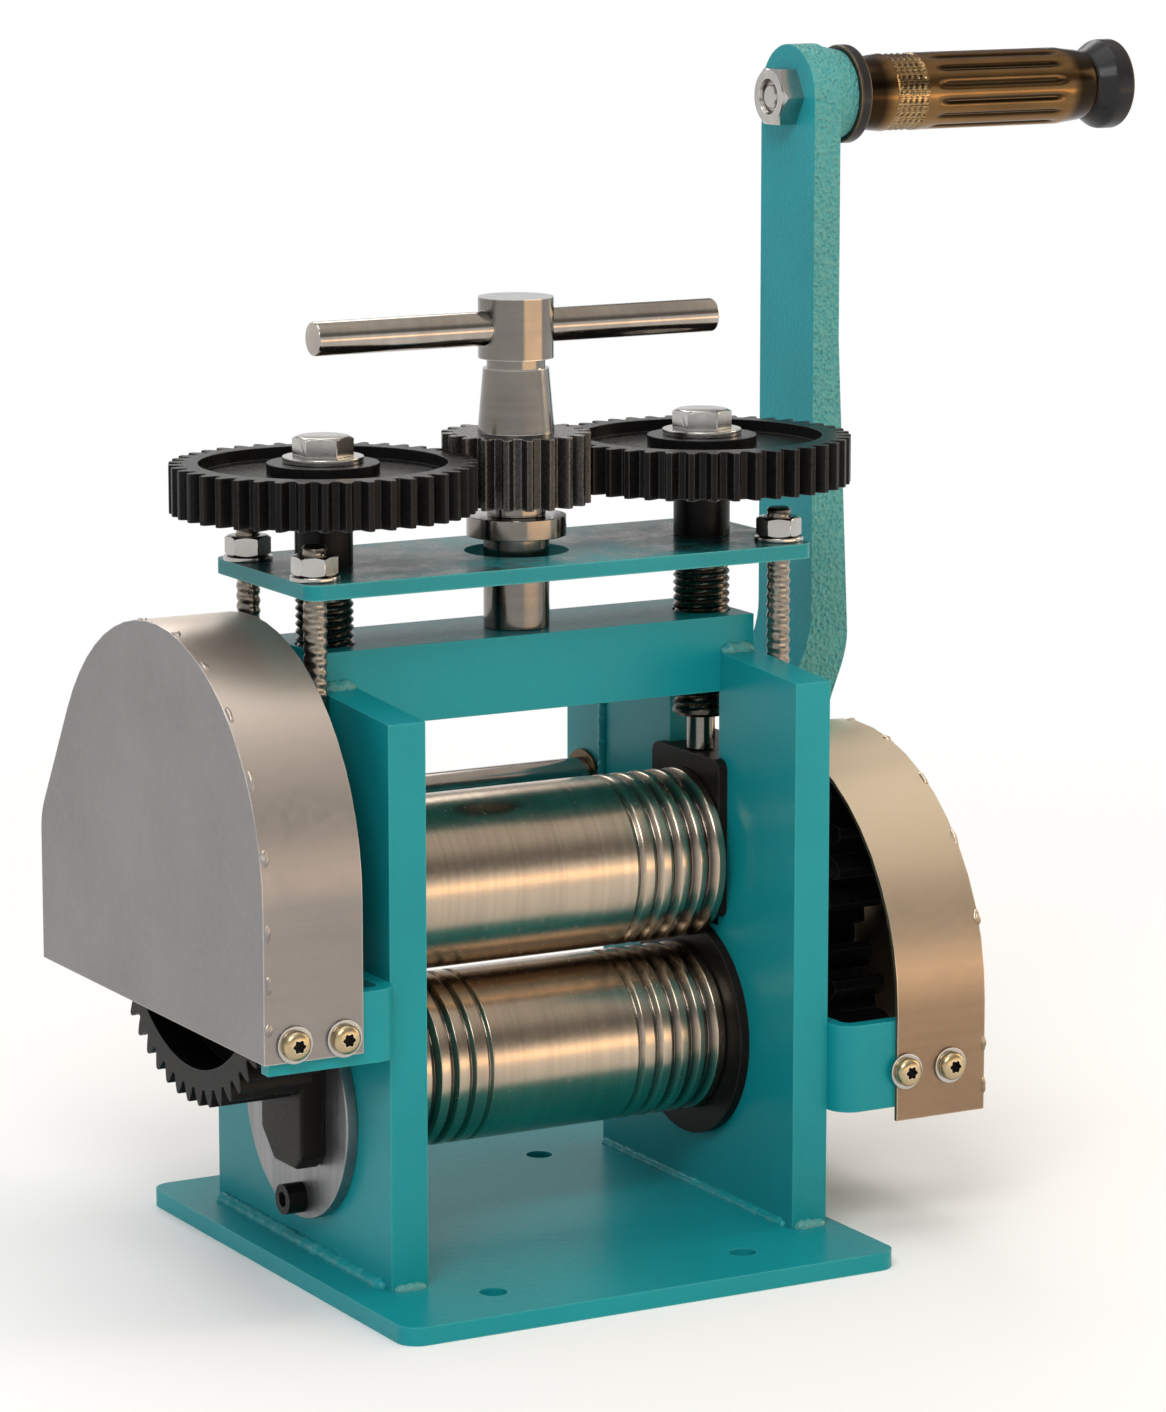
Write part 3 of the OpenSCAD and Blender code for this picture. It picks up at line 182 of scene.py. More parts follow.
def makeCastSkin():
    # pebbled skin of a sand casting, left off the side that faces -X
    group, given = newGroup("castSkin", {"Vector": None, "Scale": 0.8, "Sparing": 1.0}, ["Height"])
    lumps = addNoise(group, (-3, 1), given["Vector"], given["Scale"], detail=2.5, roughness=0.55)
    pits = addNode(group, "ShaderNodeTexVoronoi", (-3, -1), {
        "Vector": given["Vector"], "Scale": given["Scale"]}, feature="SMOOTH_F1").outputs["Distance"]
    both = calculate(group, (-1, 0), "ADD", lumps, pits)
    side = addRange(group, (-1, 3), splitPlace(group, (-3, 3), "Normal")["X"], -0.9, -0.3, 1.0, 0.0)
    spared = calculate(group, (0, 3), "MULTIPLY", side, given["Sparing"])
    rest = calculate(group, (1, 3), "SUBTRACT", 1.0, spared)
    return closeGroup(group, Height=calculate(group, (2, 1), "MULTIPLY", both, rest))


def makeGroovePaintedShade():
    # painted shade below a turned surface, darker the deeper a point lies in a groove: the distance from
    # its axis along X, in millimetres, against the outer radius
    group, given = newGroup(
        "groovePaintedShade", {"Vector": None, "Axis": None, "Radius": 28.0, "Depth": 1.5}, ["Mask"])
    offset = calculateVector(group, (-3, 0), "SUBTRACT", given["Vector"], given["Axis"])
    flat = calculateVector(group, (-2, 0), "MULTIPLY", offset, (0, 1, 1))
    reach = calculateVector(group, (-1, 0), "LENGTH", flat)
    below = calculate(group, (0, 0), "SUBTRACT", given["Radius"], reach)
    return closeGroup(group, Mask=calculate(group, (1, 0), "DIVIDE", below, given["Depth"], clamp=True))


edgeWear = makeEdgeWear()
toneDrift = makeDrift()
oilyFilmAndTopLight = makeGrimeAndTopLight()
toolLines = makeToolLines()
castSkin = makeCastSkin()
groovePaintedShade = makeGroovePaintedShade()
print("node groups are made")


def clearTree(item):
    # the emptied node tree of a material or a world
    item.use_nodes = True
    item.node_tree.nodes.clear()
    return item.node_tree


def makeFinish(name, look):
    material = bpy.data.materials.new(name)
    tree = clearTree(material)
    place = addNode(tree, "ShaderNodeTexCoord", (-8, 0)).outputs["Object"]

    def scaled(spot, stretch):
        # pattern sizes are given per millimetre
        scale = [share / mm for share in stretch]
        return addNode(tree, "ShaderNodeMapping", spot, {"Vector": place, "Scale": scale}).outputs[0]

    def useGroup(group, spot, vector, **values):
        inputs = {"Vector": vector, **values}
        return addNode(tree, "ShaderNodeGroup", spot, inputs, node_tree=group).outputs

    def mixColour(spot, factor, first, second, strength=1.0):
        amount = calculate(tree, (spot[0] - 1, spot[1]), "MULTIPLY", factor, strength)
        tones = [(*tone, 1) if isinstance(tone, tuple) else tone for tone in (first, second)]
        return addNode(tree, "ShaderNodeMix", spot, {0: amount, 6: tones[0], 7: tones[1]},
                       data_type="RGBA").outputs[2]

    def mixValue(spot, factor, first, second):
        return addNode(tree, "ShaderNodeMix", spot, {0: factor, 2: first, 3: second},
                       data_type="FLOAT").outputs[0]

    even = scaled((-7, 0), (1, 1, 1))
    drift = useGroup(toneDrift, (-5, 2), even,
                     Scale=look.get("driftScale", 0.03), Fine=look.get("fineScale", 0.5))
    colour = mixColour((-3, 2), drift["Slow"], look["base"], look["tint"])
    colour = mixColour((-2, 2), drift["Fast"], colour, look["speck"], look["speckle"])
    rough = mixValue((-2, -1), drift["Fast"], *look["rough"])
    metal = look["metal"]
    heights = []
    if "lines" in look:
        part = look["lines"]
        lines = useGroup(toolLines, (-5, -2), scaled((-7, -2), part["stretch"]), Scale=part["scale"])
        colour = mixColour((-1, 3), lines["Streaks"], colour, part["tone"], part["strength"])
        heights.append((lines["Height"], part["depth"]))
    if "skin" in look:
        part = look["skin"]
        skin = useGroup(castSkin, (-5, -4), even, Scale=part["scale"], Sparing=part.get("sparing", 0.0))
        heights.append((skin["Height"], part["depth"]))
        # the tone of a skin is a painted highlight, lighter on its raised lumps
        if "tone" in part:
            colour = mixColour((0, 3), skin["Height"], colour, part["tone"], part["strength"])
    # with a dark tone this is an oily film; with a pale tone it is painted light on the surfaces that face
    # up
    if "film" in look:
        part = look["film"]
        film = useGroup(oilyFilmAndTopLight, (-5, 0), even,
                        Scale=part["scale"], Upward=part["upward"], Cover=part["cover"])
        colour = mixColour((0, 2), film["Mask"], colour, part["tone"], part["strength"])
        rough = mixValue((0, -1), film["Mask"], rough, part["rough"])
    # painted shade in the grooves, darker the deeper they go below the outer radius
    if "groove" in look:
        part = look["groove"]
        grooveShade = useGroup(groovePaintedShade, (-5, 6), even,
                        Axis=part["axis"], Radius=part["radius"], Depth=part["depth"])
        colour = mixColour((1, 2), grooveShade["Mask"], colour, part["tone"], part["strength"])
    if "wear" in look:
        part = look["wear"]
        wear = useGroup(edgeWear, (-5, 4), even, Reach=part.get("reach", 0.6), Breakup=part["breakup"],
                        Scale=part.get("scale", 0.25))
        colour = mixColour((2, 2), wear["Mask"], colour, part["tone"], part["strength"])
        rough = mixValue((2, -1), wear["Mask"], rough, part["rough"])
    inputs = {
        "Base Color": colour, "Roughness": rough, "Metallic": metal,
        "Coat Weight": look.get("coat", 0.0), "Coat Roughness": look.get("coatRough", 0.1),
        "Specular IOR Level": look.get("specular", 0.5)}
    for number, (height, depth) in enumerate(heights):
        bump = {"Strength": 1.0, "Distance": depth * mm, "Height": height}
        if number:
            bump["Normal"] = inputs["Normal"]
        inputs["Normal"] = addNode(tree, "ShaderNodeBump", (3 + number, -3), bump).outputs[0]
    shader = addNode(tree, "ShaderNodeBsdfPrincipled", (6, 0), inputs)
    addNode(tree, "ShaderNodeOutputMaterial", (8, 0), {"Surface": shader.outputs[0]})
    return material


tealEnamel = makeFinish("tealEnamel", {
    "base": (0.006, 0.285, 0.315), "tint": (0.004, 0.24, 0.27), "driftScale": 0.015,
    "speck": (0.012, 0.31, 0.335), "speckle": 0.2, "fineScale": 0.35,
    "rough": (0.28, 0.4), "metal": 0.0, "specular": 0.2, "coat": 0.04, "coatRough": 0.12,
    "skin": {"scale": 0.5, "depth": 0.04},
    "wear": {"tone": (0.12, 0.5, 0.48), "strength": 0.55, "rough": 0.3, "breakup": 0.4, "reach": 0.9},
})
tealWeld = makeFinish("tealWeld", {
    "base": (0.006, 0.285, 0.315), "tint": (0.004, 0.24, 0.27), "driftScale": 0.05,
    "speck": (0.5, 0.45, 0.25), "speckle": 0.3, "fineScale": 0.8,
    "rough": (0.28, 0.4), "metal": 0.0, "specular": 0.25, "coat": 0.05, "coatRough": 0.12,
    "skin": {"scale": 0.8, "depth": 0.1},
    "wear": {"tone": (0.2, 0.55, 0.5), "strength": 0.5, "rough": 0.3, "breakup": 0.4, "reach": 0.8},
})
tealTop = makeFinish("tealTop", {
    "base": (0.008, 0.26, 0.28), "tint": (0.006, 0.21, 0.23), "driftScale": 0.03,
    "speck": (0.012, 0.3, 0.32), "speckle": 0.3, "fineScale": 0.4,
    "rough": (0.28, 0.42), "metal": 0.0, "specular": 0.2, "coat": 0.04, "coatRough": 0.12,
    "skin": {"scale": 0.9, "depth": 0.05},
    "film": {"tone": (0.022, 0.024, 0.02), "strength": 0.85, "scale": 0.06, "upward": 1.0,
             "cover": 0.42, "rough": 0.22},
    "wear": {"tone": (0.2, 0.56, 0.53), "strength": 0.7, "rough": 0.3, "breakup": 0.3, "reach": 1.0},
})
tealCasting = makeFinish("tealCasting", {
    "base": (0.006, 0.31, 0.36), "tint": (0.004, 0.26, 0.305), "driftScale": 0.02,
    "speck": (0.03, 0.38, 0.4), "speckle": 0.25, "fineScale": 0.5,
    "rough": (0.28, 0.38), "metal": 0.0, "specular": 0.12,
    # the skin's tone is a painted highlight: a lighter, yellower colour on the raised lumps of the cast
    # skin
    "skin": {"scale": 0.75, "depth": 1.2, "sparing": 0.9, "tone": (0.25, 0.46, 0.36), "strength": 0.42},
    "wear": {"tone": (0.14, 0.52, 0.52), "strength": 0.55, "rough": 0.3, "breakup": 0.5, "reach": 1.0},
})
coverSheet = makeFinish("coverSheet", {
    "base": (0.25, 0.245, 0.25), "tint": (0.2, 0.195, 0.2), "driftScale": 0.02,
    "speck": (0.3, 0.285, 0.27), "speckle": 0.3, "fineScale": 0.3,
    "rough": (0.36, 0.48), "metal": 0.85,
    "lines": {"stretch": (0.05, 1.0, 1.0), "scale": 1.6, "tone": (0.3, 0.27, 0.24),
              "strength": 0.3, "depth": 0.01},
    # the film entry here is painted light: a lighter, warmer tone on the surfaces that face up
    "film": {"tone": (0.75, 0.64, 0.54), "strength": 0.85, "scale": 0.01, "upward": 1.0,
             "cover": 1.0, "rough": 0.36},
    "wear": {"tone": (0.75, 0.74, 0.72), "strength": 0.9, "rough": 0.25, "breakup": 0.25, "reach": 0.7},
})
# the same sheet steel as coverSheet; its warm colour is a painted reflection of a warm surface in front,
# and its film entry is painted light on the surfaces that face up
coverPaintedWarmReflection = makeFinish("coverPaintedWarmReflection", {
    "base": (0.25, 0.165, 0.105), "tint": (0.2, 0.135, 0.09), "driftScale": 0.02,
    "speck": (0.31, 0.23, 0.15), "speckle": 0.3, "fineScale": 0.3,
    "rough": (0.34, 0.44), "metal": 0.85,
    "lines": {"stretch": (0.05, 1.0, 1.0), "scale": 1.6, "tone": (0.3, 0.22, 0.145),
              "strength": 0.3, "depth": 0.01},
    "film": {"tone": (0.95, 0.8, 0.6), "strength": 1.0, "scale": 0.01, "upward": 1.0, "cover": 1.0,
             "rough": 0.34},
    "wear": {"tone": (0.8, 0.7, 0.55), "strength": 0.9, "rough": 0.25, "breakup": 0.25, "reach": 0.7},
})
# steel of the rollers: its warm tint is a painted reflection of warm light, and its groove entry darkens
# the grooves as painted shade
rollerLook = {
    "base": (0.56, 0.465, 0.36), "tint": (0.44, 0.36, 0.275), "driftScale": 0.03,
    "speck": (0.6, 0.5, 0.39), "speckle": 0.15, "fineScale": 0.5,
    "rough": (0.21, 0.28), "metal": 1.0,
    "lines": {"stretch": (1.0, 0.01, 0.01), "scale": 2.2, "tone": (0.36, 0.29, 0.23),
              "strength": 0.4, "depth": 0.004},
    "groove": {"axis": (0.0, 11.4, 120.9), "radius": 28.2, "depth": 1.6,
               "tone": (0.035, 0.03, 0.026), "strength": 0.9},
    "wear": {"tone": (0.85, 0.8, 0.72), "strength": 0.8, "rough": 0.12, "breakup": 0.2, "reach": 0.5},
}
upperRollerSteel = makeFinish("upperRollerSteel", rollerLook)
rollerLook["groove"]["axis"] = (0.0, 11.4, 61.7)
lowerRollerSteel = makeFinish("lowerRollerSteel", rollerLook)
turnedUpright = makeFinish("turnedUpright", {
    "base": (0.2, 0.184, 0.168), "tint": (0.13, 0.119, 0.108), "driftScale": 0.05,
    "speck": (0.4, 0.36, 0.3), "speckle": 0.12, "fineScale": 0.2,
    "rough": (0.12, 0.2), "metal": 1.0,
    "lines": {"stretch": (0.02, 0.02, 1.0), "scale": 1.4, "tone": (0.26, 0.235, 0.2),
              "strength": 0.25, "depth": 0.004},
    "wear": {"tone": (0.8, 0.78, 0.74), "strength": 0.7, "rough": 0.15, "breakup": 0.3},
})
turnedLengthways = makeFinish("turnedLengthways", {
    "base": (0.46, 0.42, 0.38), "tint": (0.34, 0.3, 0.27), "driftScale": 0.05,
    "speck": (0.26, 0.22, 0.17), "speckle": 0.12, "fineScale": 0.2,
    "rough": (0.12, 0.22), "metal": 1.0,
    "lines": {"stretch": (1.0, 0.02, 0.02), "scale": 1.4, "tone": (0.28, 0.24, 0.2),
              "strength": 0.25, "depth": 0.004},
    "wear": {"tone": (0.8, 0.78, 0.74), "strength": 0.7, "rough": 0.15, "breakup": 0.3},
})
zincSteel = makeFinish("zincSteel", {
    "base": (0.5, 0.49, 0.47), "tint": (0.4, 0.385, 0.36), "driftScale": 0.08,
    "speck": (0.36, 0.33, 0.28), "speckle": 0.12, "fineScale": 0.6,
    "rough": (0.18, 0.26), "metal": 1.0,
    "skin": {"scale": 1.0, "depth": 0.006},
    "wear": {"tone": (0.85, 0.84, 0.82), "strength": 0.7, "rough": 0.18, "breakup": 0.3},
})
keeperSteel = makeFinish("keeperSteel", {
    "base": (0.24, 0.245, 0.25), "tint": (0.16, 0.163, 0.167), "driftScale": 0.05,
    "speck": (0.4, 0.4, 0.4), "speckle": 0.2, "fineScale": 0.6,
    "rough": (0.3, 0.46), "metal": 0.9,
    "lines": {"stretch": (1.0, 0.9, 0.07), "scale": 1.0, "tone": (0.42, 0.42, 0.42),
              "strength": 0.45, "depth": 0.02},
    "wear": {"tone": (0.75, 0.75, 0.75), "strength": 0.85, "rough": 0.2, "breakup": 0.25, "reach": 0.8},
})
threadSteel = makeFinish("threadSteel", {
    "base": (0.075, 0.068, 0.06), "tint": (0.05, 0.045, 0.04), "driftScale": 0.06,
    "speck": (0.12, 0.1, 0.075), "speckle": 0.2, "fineScale": 0.5,
    "rough": (0.2, 0.34), "metal": 1.0,
    "wear": {"tone": (0.5, 0.42, 0.32), "strength": 0.75, "rough": 0.2, "breakup": 0.3, "reach": 0.45},
})
studSteel = makeFinish("studSteel", {
    "base": (0.26, 0.235, 0.2), "tint": (0.17, 0.15, 0.125), "driftScale": 0.06,
    "speck": (0.12, 0.1, 0.075), "speckle": 0.2, "fineScale": 0.5,
    "rough": (0.24, 0.36), "metal": 1.0,
    "wear": {"tone": (0.7, 0.64, 0.54), "strength": 0.7, "rough": 0.2, "breakup": 0.3, "reach": 0.25},
})
yellowZinc = makeFinish("yellowZinc", {
    "base": (0.5, 0.38, 0.18), "tint": (0.42, 0.34, 0.22), "driftScale": 0.2,
    "speck": (0.6, 0.5, 0.34), "speckle": 0.4, "fineScale": 1.0,
    "rough": (0.25, 0.4), "metal": 1.0,
    "skin": {"scale": 2.5, "depth": 0.01},
    "wear": {"tone": (0.9, 0.84, 0.7), "strength": 0.8, "rough": 0.2, "breakup": 0.3},
})
blackOxide = makeFinish("blackOxide", {
    "base": (0.004, 0.0038, 0.0042), "tint": (0.007, 0.0065, 0.0065), "driftScale": 0.05,
    "speck": (0.02, 0.018, 0.016), "speckle": 0.2, "fineScale": 0.5,
    "rough": (0.24, 0.36), "metal": 0.0, "specular": 0.1,
    "skin": {"scale": 1.6, "depth": 0.02},
    "wear": {"tone": (0.2, 0.19, 0.18), "strength": 0.7, "rough": 0.28, "breakup": 0.4, "reach": 0.6},
})
wornOxide = makeFinish("wornOxide", {
    "base": (0.012, 0.011, 0.011), "tint": (0.03, 0.028, 0.026), "driftScale": 0.08,
    "speck": (0.09, 0.082, 0.075), "speckle": 0.5, "fineScale": 0.9,
    "rough": (0.2, 0.36), "metal": 0.6, "specular": 0.3,
    "skin": {"scale": 1.6, "depth": 0.03},
    "wear": {"tone": (0.5, 0.48, 0.45), "strength": 0.9, "rough": 0.2, "breakup": 0.35, "reach": 0.8},
})
blackBlock = makeFinish("blackBlock", {
    "base": (0.007, 0.006, 0.0056), "tint": (0.011, 0.009, 0.008), "driftScale": 0.05,
    "speck": (0.022, 0.018, 0.015), "speckle": 0.25, "fineScale": 0.5,
    "rough": (0.3, 0.44), "metal": 0.0, "specular": 0.11,
    "skin": {"scale": 1.2, "depth": 0.03},
    "wear": {"tone": (0.1, 0.088, 0.075), "strength": 0.7, "rough": 0.35, "breakup": 0.5, "reach": 0.7},
})
bushBronze = makeFinish("bushBronze", {
    "base": (0.12, 0.075, 0.03), "tint": (0.08, 0.05, 0.025), "driftScale": 0.06,
    "speck": (0.04, 0.03, 0.02), "speckle": 0.3, "fineScale": 0.5,
    "rough": (0.25, 0.4), "metal": 1.0,
    "wear": {"tone": (0.5, 0.34, 0.16), "strength": 0.5, "rough": 0.2, "breakup": 0.3},
})
gripBronze = makeFinish("gripBronze", {
    "base": (0.2, 0.11, 0.042), "tint": (0.12, 0.064, 0.025), "driftScale": 0.04,
    "speck": (0.27, 0.155, 0.065), "speckle": 0.12, "fineScale": 0.4,
    "rough": (0.15, 0.22), "metal": 1.0,
    "lines": {"stretch": (0.03, 1.0, 1.0), "scale": 1.0, "tone": (0.34, 0.21, 0.09),
              "strength": 0.3, "depth": 0.01},
    # painted shade in the flutes, darker below the grip's outer radius
    "groove": {"axis": (0.0, 85.6, 364.0), "radius": 13.45, "depth": 0.5, "tone": (0.012, 0.008, 0.005),
               "strength": 0.9},
    "wear": {"tone": (0.85, 0.58, 0.28), "strength": 0.75, "rough": 0.2, "breakup": 0.3, "reach": 0.45},
})
gripBlack = makeFinish("gripBlack", {
    "base": (0.012, 0.012, 0.014), "tint": (0.02, 0.02, 0.022), "driftScale": 0.06,
    "speck": (0.03, 0.03, 0.03), "speckle": 0.2, "fineScale": 0.5,
    "rough": (0.26, 0.36), "metal": 0.0, "specular": 0.16, "coat": 0.12, "coatRough": 0.12,
    "wear": {"tone": (0.55, 0.36, 0.15), "strength": 0.85, "rough": 0.25, "breakup": 0.3, "reach": 1.4},
})
print("materials are made")

finishOf = {
    tealEnamel: ["base_plate", "left_side_plate", "right_side_plate", "top_beam", "shaft_bars",
                 "left_cover_bracket", "right_cover_bracket"],
    tealTop: ["top_plate"],
    tealCasting: ["crank_arm"],
    coverSheet: ["left_gear_cover"],
    # the right cover takes the sheet steel with the painted warm reflection
    coverPaintedWarmReflection: ["right_gear_cover"],
    upperRollerSteel: ["upper_roller"],
    lowerRollerSteel: ["lower_roller"],
    turnedUpright: ["centre_shaft", "tee_head"],
    turnedLengthways: ["tee_bar", "crank_shaft", "handle_spindle"],
    studSteel: ["lifting_studs"],
    zincSteel: ["stud_nuts", "stud_washers", "cover_washers", "left_gear_bolt", "right_gear_bolt",
                "left_gear_washer", "right_gear_washer", "handle_nut"],
    keeperSteel: ["keeper_disc"],
    threadSteel: ["left_screw", "right_screw"],
    yellowZinc: ["cover_screws"],
    blackOxide: ["drive_gear", "upper_roller_gear", "lower_roller_gear", "drive_pinion",
                 "left_adjust_gear", "right_adjust_gear", "left_sleeve", "right_sleeve",
                 "drive_gear_bolt", "upper_gear_bolt", "lower_gear_bolt", "pinion_bolt", "hub_bolt",
                 "retaining_ring", "keeper_screw", "lug_screws"],
    wornOxide: ["centre_pinion"],
    blackBlock: ["left_bearing_block", "right_bearing_block", "lifting_lugs", "bearing_cap",
                 "lower_housings"],
    bushBronze: ["upper_bushes", "lower_bushes", "crank_bushes"],
    gripBronze: ["grip"],
    gripBlack: ["grip_flange", "grip_end"],
}
for finish, names in finishOf.items():
    for name in names:
        nodes[name].data.materials.clear()
        nodes[name].data.materials.append(finish)

# width of the broken edge on the CAD pieces; every piece that isn't named has the first value
edgeBreak = {
    "rest": 0.3, "base_plate": 0.8, "left_side_plate": 0.8, "right_side_plate": 0.8, "top_beam": 0.8,
    "shaft_bars": 0.8, "top_plate": 0.6, "crank_arm": 1.6, "upper_roller": 0.5, "lower_roller": 0.5,
    "left_gear_cover": 0.35, "right_gear_cover": 0.35, "bearing_cap": 1.2, "keeper_disc": 0.5,
    "tee_head": 0.6, "tee_bar": 0.8, "grip_flange": 0.8, "grip_end": 1.0, "left_bearing_block": 0.6,
    "right_bearing_block": 0.6, "left_cover_bracket": 1.0, "right_cover_bracket": 1.0,
}
# lengths in millimetres and angles in degrees for the work on those edges
edgeWork = {"weld": 0.002, "flat": 0.3, "sharp": 32, "segments": 2, "weight": 80}


def makeSmoothByAngle():
    # shades a CAD piece smooth except where two faces meet at a sharp angle
    tree = bpy.data.node_groups.new("smoothByAngle", "GeometryNodeTree")
    for way in ("INPUT", "OUTPUT"):
        tree.interface.new_socket("Geometry", in_out=way, socket_type="NodeSocketGeometry")
    given = addNode(tree, "NodeGroupInput", (-3, 0)).outputs[0]
    angle = addNode(tree, "GeometryNodeInputMeshEdgeAngle", (-3, 1)).outputs["Unsigned Angle"]
    sharp = addNode(tree, "FunctionNodeCompare", (-2, 1), {0: angle, 1: math.radians(edgeWork["sharp"])},
                    data_type="FLOAT", operation="GREATER_THAN").outputs[0]
    faces = addNode(tree, "GeometryNodeSetShadeSmooth", (-2, 0), {
        0: given, "Shade Smooth": True}, domain="FACE").outputs[0]
    edges = addNode(tree, "GeometryNodeSetShadeSmooth", (-1, 0), {
        0: faces, "Selection": sharp, "Shade Smooth": False}, domain="EDGE").outputs[0]
    addNode(tree, "NodeGroupOutput", (1, 0), {0: edges})
    return tree


smoothByAngle = makeSmoothByAngle()


def addBevel(piece, width, segments, angle):
    bevel = piece.modifiers.new("brokenEdge", "BEVEL")
    bevel.width = width * mm
    bevel.segments = segments
    bevel.limit_method = "ANGLE"
    bevel.angle_limit = math.radians(angle)
    return bevel


def breakEdges(piece, width):
    weld = piece.modifiers.new("weld", "WELD")
    weld.merge_threshold = edgeWork["weld"] * mm
    whole = piece.modifiers.new("wholeFaces", "DECIMATE")
    whole.decimate_type = "DISSOLVE"
    whole.angle_limit = math.radians(edgeWork["flat"])
    addBevel(piece, width, edgeWork["segments"], edgeWork["sharp"])
    smooth = piece.modifiers.new("smoothByAngle", "NODES")
    smooth.node_group = smoothByAngle
    flat = piece.modifiers.new("flatFaces", "WEIGHTED_NORMAL")
    flat.weight = edgeWork["weight"]
    flat.keep_sharp = True


for name, piece in nodes.items():
    breakEdges(piece, edgeBreak.get(name, edgeBreak["rest"]))
print("CAD pieces have their finishes and edges")


# pieces that are modelled here; sizes are in millimetres from the machine's middle,
# which lies off the bench-bolt centre by this much
middle = (6.4, 11.4)


def spot(x, y, z):
    return Vector(((x + middle[0]) * mm, (y + middle[1]) * mm, z * mm))


def selectOnly(piece):
    bpy.ops.object.select_all(action="DESELECT")
    piece.select_set(True)
    bpy.context.view_layer.objects.active = piece


def applyPlace(piece):
    selectOnly(piece)
    bpy.ops.object.transform_apply(location=True, rotation=True, scale=True)


def addCylinder(name, sides, radius, height):
    # stands on the origin
    bpy.ops.object.select_all(action="DESELECT")
    bpy.ops.mesh.primitive_cylinder_add(
        vertices=sides, radius=radius * mm, depth=height * mm, location=(0, 0, height / 2 * mm))
    piece = bpy.context.object
    piece.name = name
    applyPlace(piece)
    return piece


def turnPiece(name, profile, steps=48, closed=False):
    # profile: radius and height pairs; each ring is extruded from the last and scaled
    bpy.ops.object.select_all(action="DESELECT")
    bpy.ops.mesh.primitive_circle_add(
        vertices=steps, radius=profile[0][0] * mm, fill_type="NOTHING" if closed else "NGON")
    piece = bpy.context.object
    piece.name = name
    bpy.ops.object.mode_set(mode="EDIT")
    bpy.ops.mesh.select_all(action="SELECT")
    bpy.ops.transform.translate(value=(0, 0, profile[0][1] * mm))
    path = list(profile[1:]) + ([profile[0]] if closed else [])
    last = profile[0]
    for radius, height in path:
        bpy.ops.mesh.extrude_region_move(
            TRANSFORM_OT_translate={"value": (0, 0, (height - last[1]) * mm)})
        if radius != last[0]:
            ratio = radius / last[0]
            bpy.ops.transform.resize(value=(ratio, ratio, 1), center_override=(0, 0, height * mm))
        last = (radius, height)
    bpy.ops.mesh.select_all(action="SELECT")
    bpy.ops.mesh.remove_doubles(threshold=0.001 * mm)
    bpy.ops.mesh.normals_make_consistent(inside=False)
    bpy.ops.object.mode_set(mode="OBJECT")
    return piece


def cutRows(piece, low, high, rows):
    # subdivides the walls that run from one height to the other
    mesh = piece.data
    selectOnly(piece)
    bpy.ops.object.mode_set(mode="EDIT")
    bpy.ops.mesh.select_mode(type="EDGE")
    bpy.ops.mesh.select_all(action="DESELECT")
    bpy.ops.object.mode_set(mode="OBJECT")
    near = 0.01 * mm
    for edge in mesh.edges:
        ends = sorted(mesh.vertices[v].co.z for v in edge.vertices)
        edge.select = abs(ends[0] - low * mm) < near and abs(ends[1] - high * mm) < near
    bpy.ops.object.mode_set(mode="EDIT")
    bpy.ops.mesh.subdivide(number_cuts=rows)
    bpy.ops.mesh.select_mode(type="VERT")
    bpy.ops.object.mode_set(mode="OBJECT")


def narrow(point, share):
    # moves a point towards the Z axis, or away from it
    point.co.x *= share
    point.co.y *= share


def reshape(piece, low, high, change, least=0.5):
    # moves the points between two heights in or out, unless they are nearer to the axis than least:
    # change(angle, height, radius) gives the new radius
    for point in piece.data.vertices:
        height = point.co.z / mm
        radius = math.hypot(point.co.x, point.co.y) / mm
        if low - 0.01 < height < high + 0.01 and radius > least:
            narrow(point, change(math.atan2(point.co.y, point.co.x), height, radius) / radius)


def threadForm(low, high, pitch, depth):
    # right-hand V thread that runs out at both ends
    def radiusAt(angle, height, radius):
        turn = (height / pitch - angle / (2 * math.pi)) % 1
        ramp = min(1.0, max(0.0, min(height - low, high - height) / pitch))
        return radius - depth * ramp * (1 - abs(2 * turn - 1) ** 0.8)
    return radiusAt


def stand(piece, place, along="Z", flip=False):
    # lays a piece that was made upright along an axis and puts it in its place
    turn = {"Z": (0, 0, 0), "X": (0, math.pi / 2, 0), "Y": (math.pi / 2, 0, 0)}[along]
    if flip:
        turn = (turn[0], turn[1] + math.pi, turn[2])
    piece.rotation_euler = turn
    piece.location = place
    applyPlace(piece)


def copyTo(piece, name, shift):
    twin = piece.copy()
    twin.data = piece.data.copy()
    twin.name = name
    twin.data.name = name
    bpy.context.scene.collection.objects.link(twin)
    for point in twin.data.vertices:
        point.co += Vector(shift)
    return twin


def joinAll(pieces, name):
    bpy.ops.object.select_all(action="DESELECT")
    for piece in pieces:
        piece.select_set(True)
    bpy.context.view_layer.objects.active = pieces[0]
    if len(pieces) > 1:
        bpy.ops.object.join()
    pieces[0].name = name
    pieces[0].data.name = name
    return pieces[0]


def smoothAndPaint(piece, finish, angle=35):
    selectOnly(piece)
    bpy.ops.object.shade_smooth_by_angle(angle=math.radians(angle))
    piece.data.materials.clear()
    piece.data.materials.append(finish)


def paintSome(piece, finish, chosen):
    # gives a second finish to the faces whose middle passes the test
    piece.data.materials.append(finish)
    for face in piece.data.polygons:
        if chosen(face.center):
            face.material_index = len(piece.data.materials) - 1


def cutWith(piece, tool, operation="DIFFERENCE"):
    selectOnly(piece)
    cutter = piece.modifiers.new("cut", "BOOLEAN")
    cutter.operation = operation
    cutter.solver = "EXACT"
    cutter.object = tool
    bpy.ops.object.modifier_apply(modifier=cutter.name)
    bpy.data.objects.remove(tool)


def roundEdges(piece, width, segments=2, angle=30):
    selectOnly(piece)
    bpy.ops.object.modifier_apply(modifier=addBevel(piece, width, segments, angle).name)


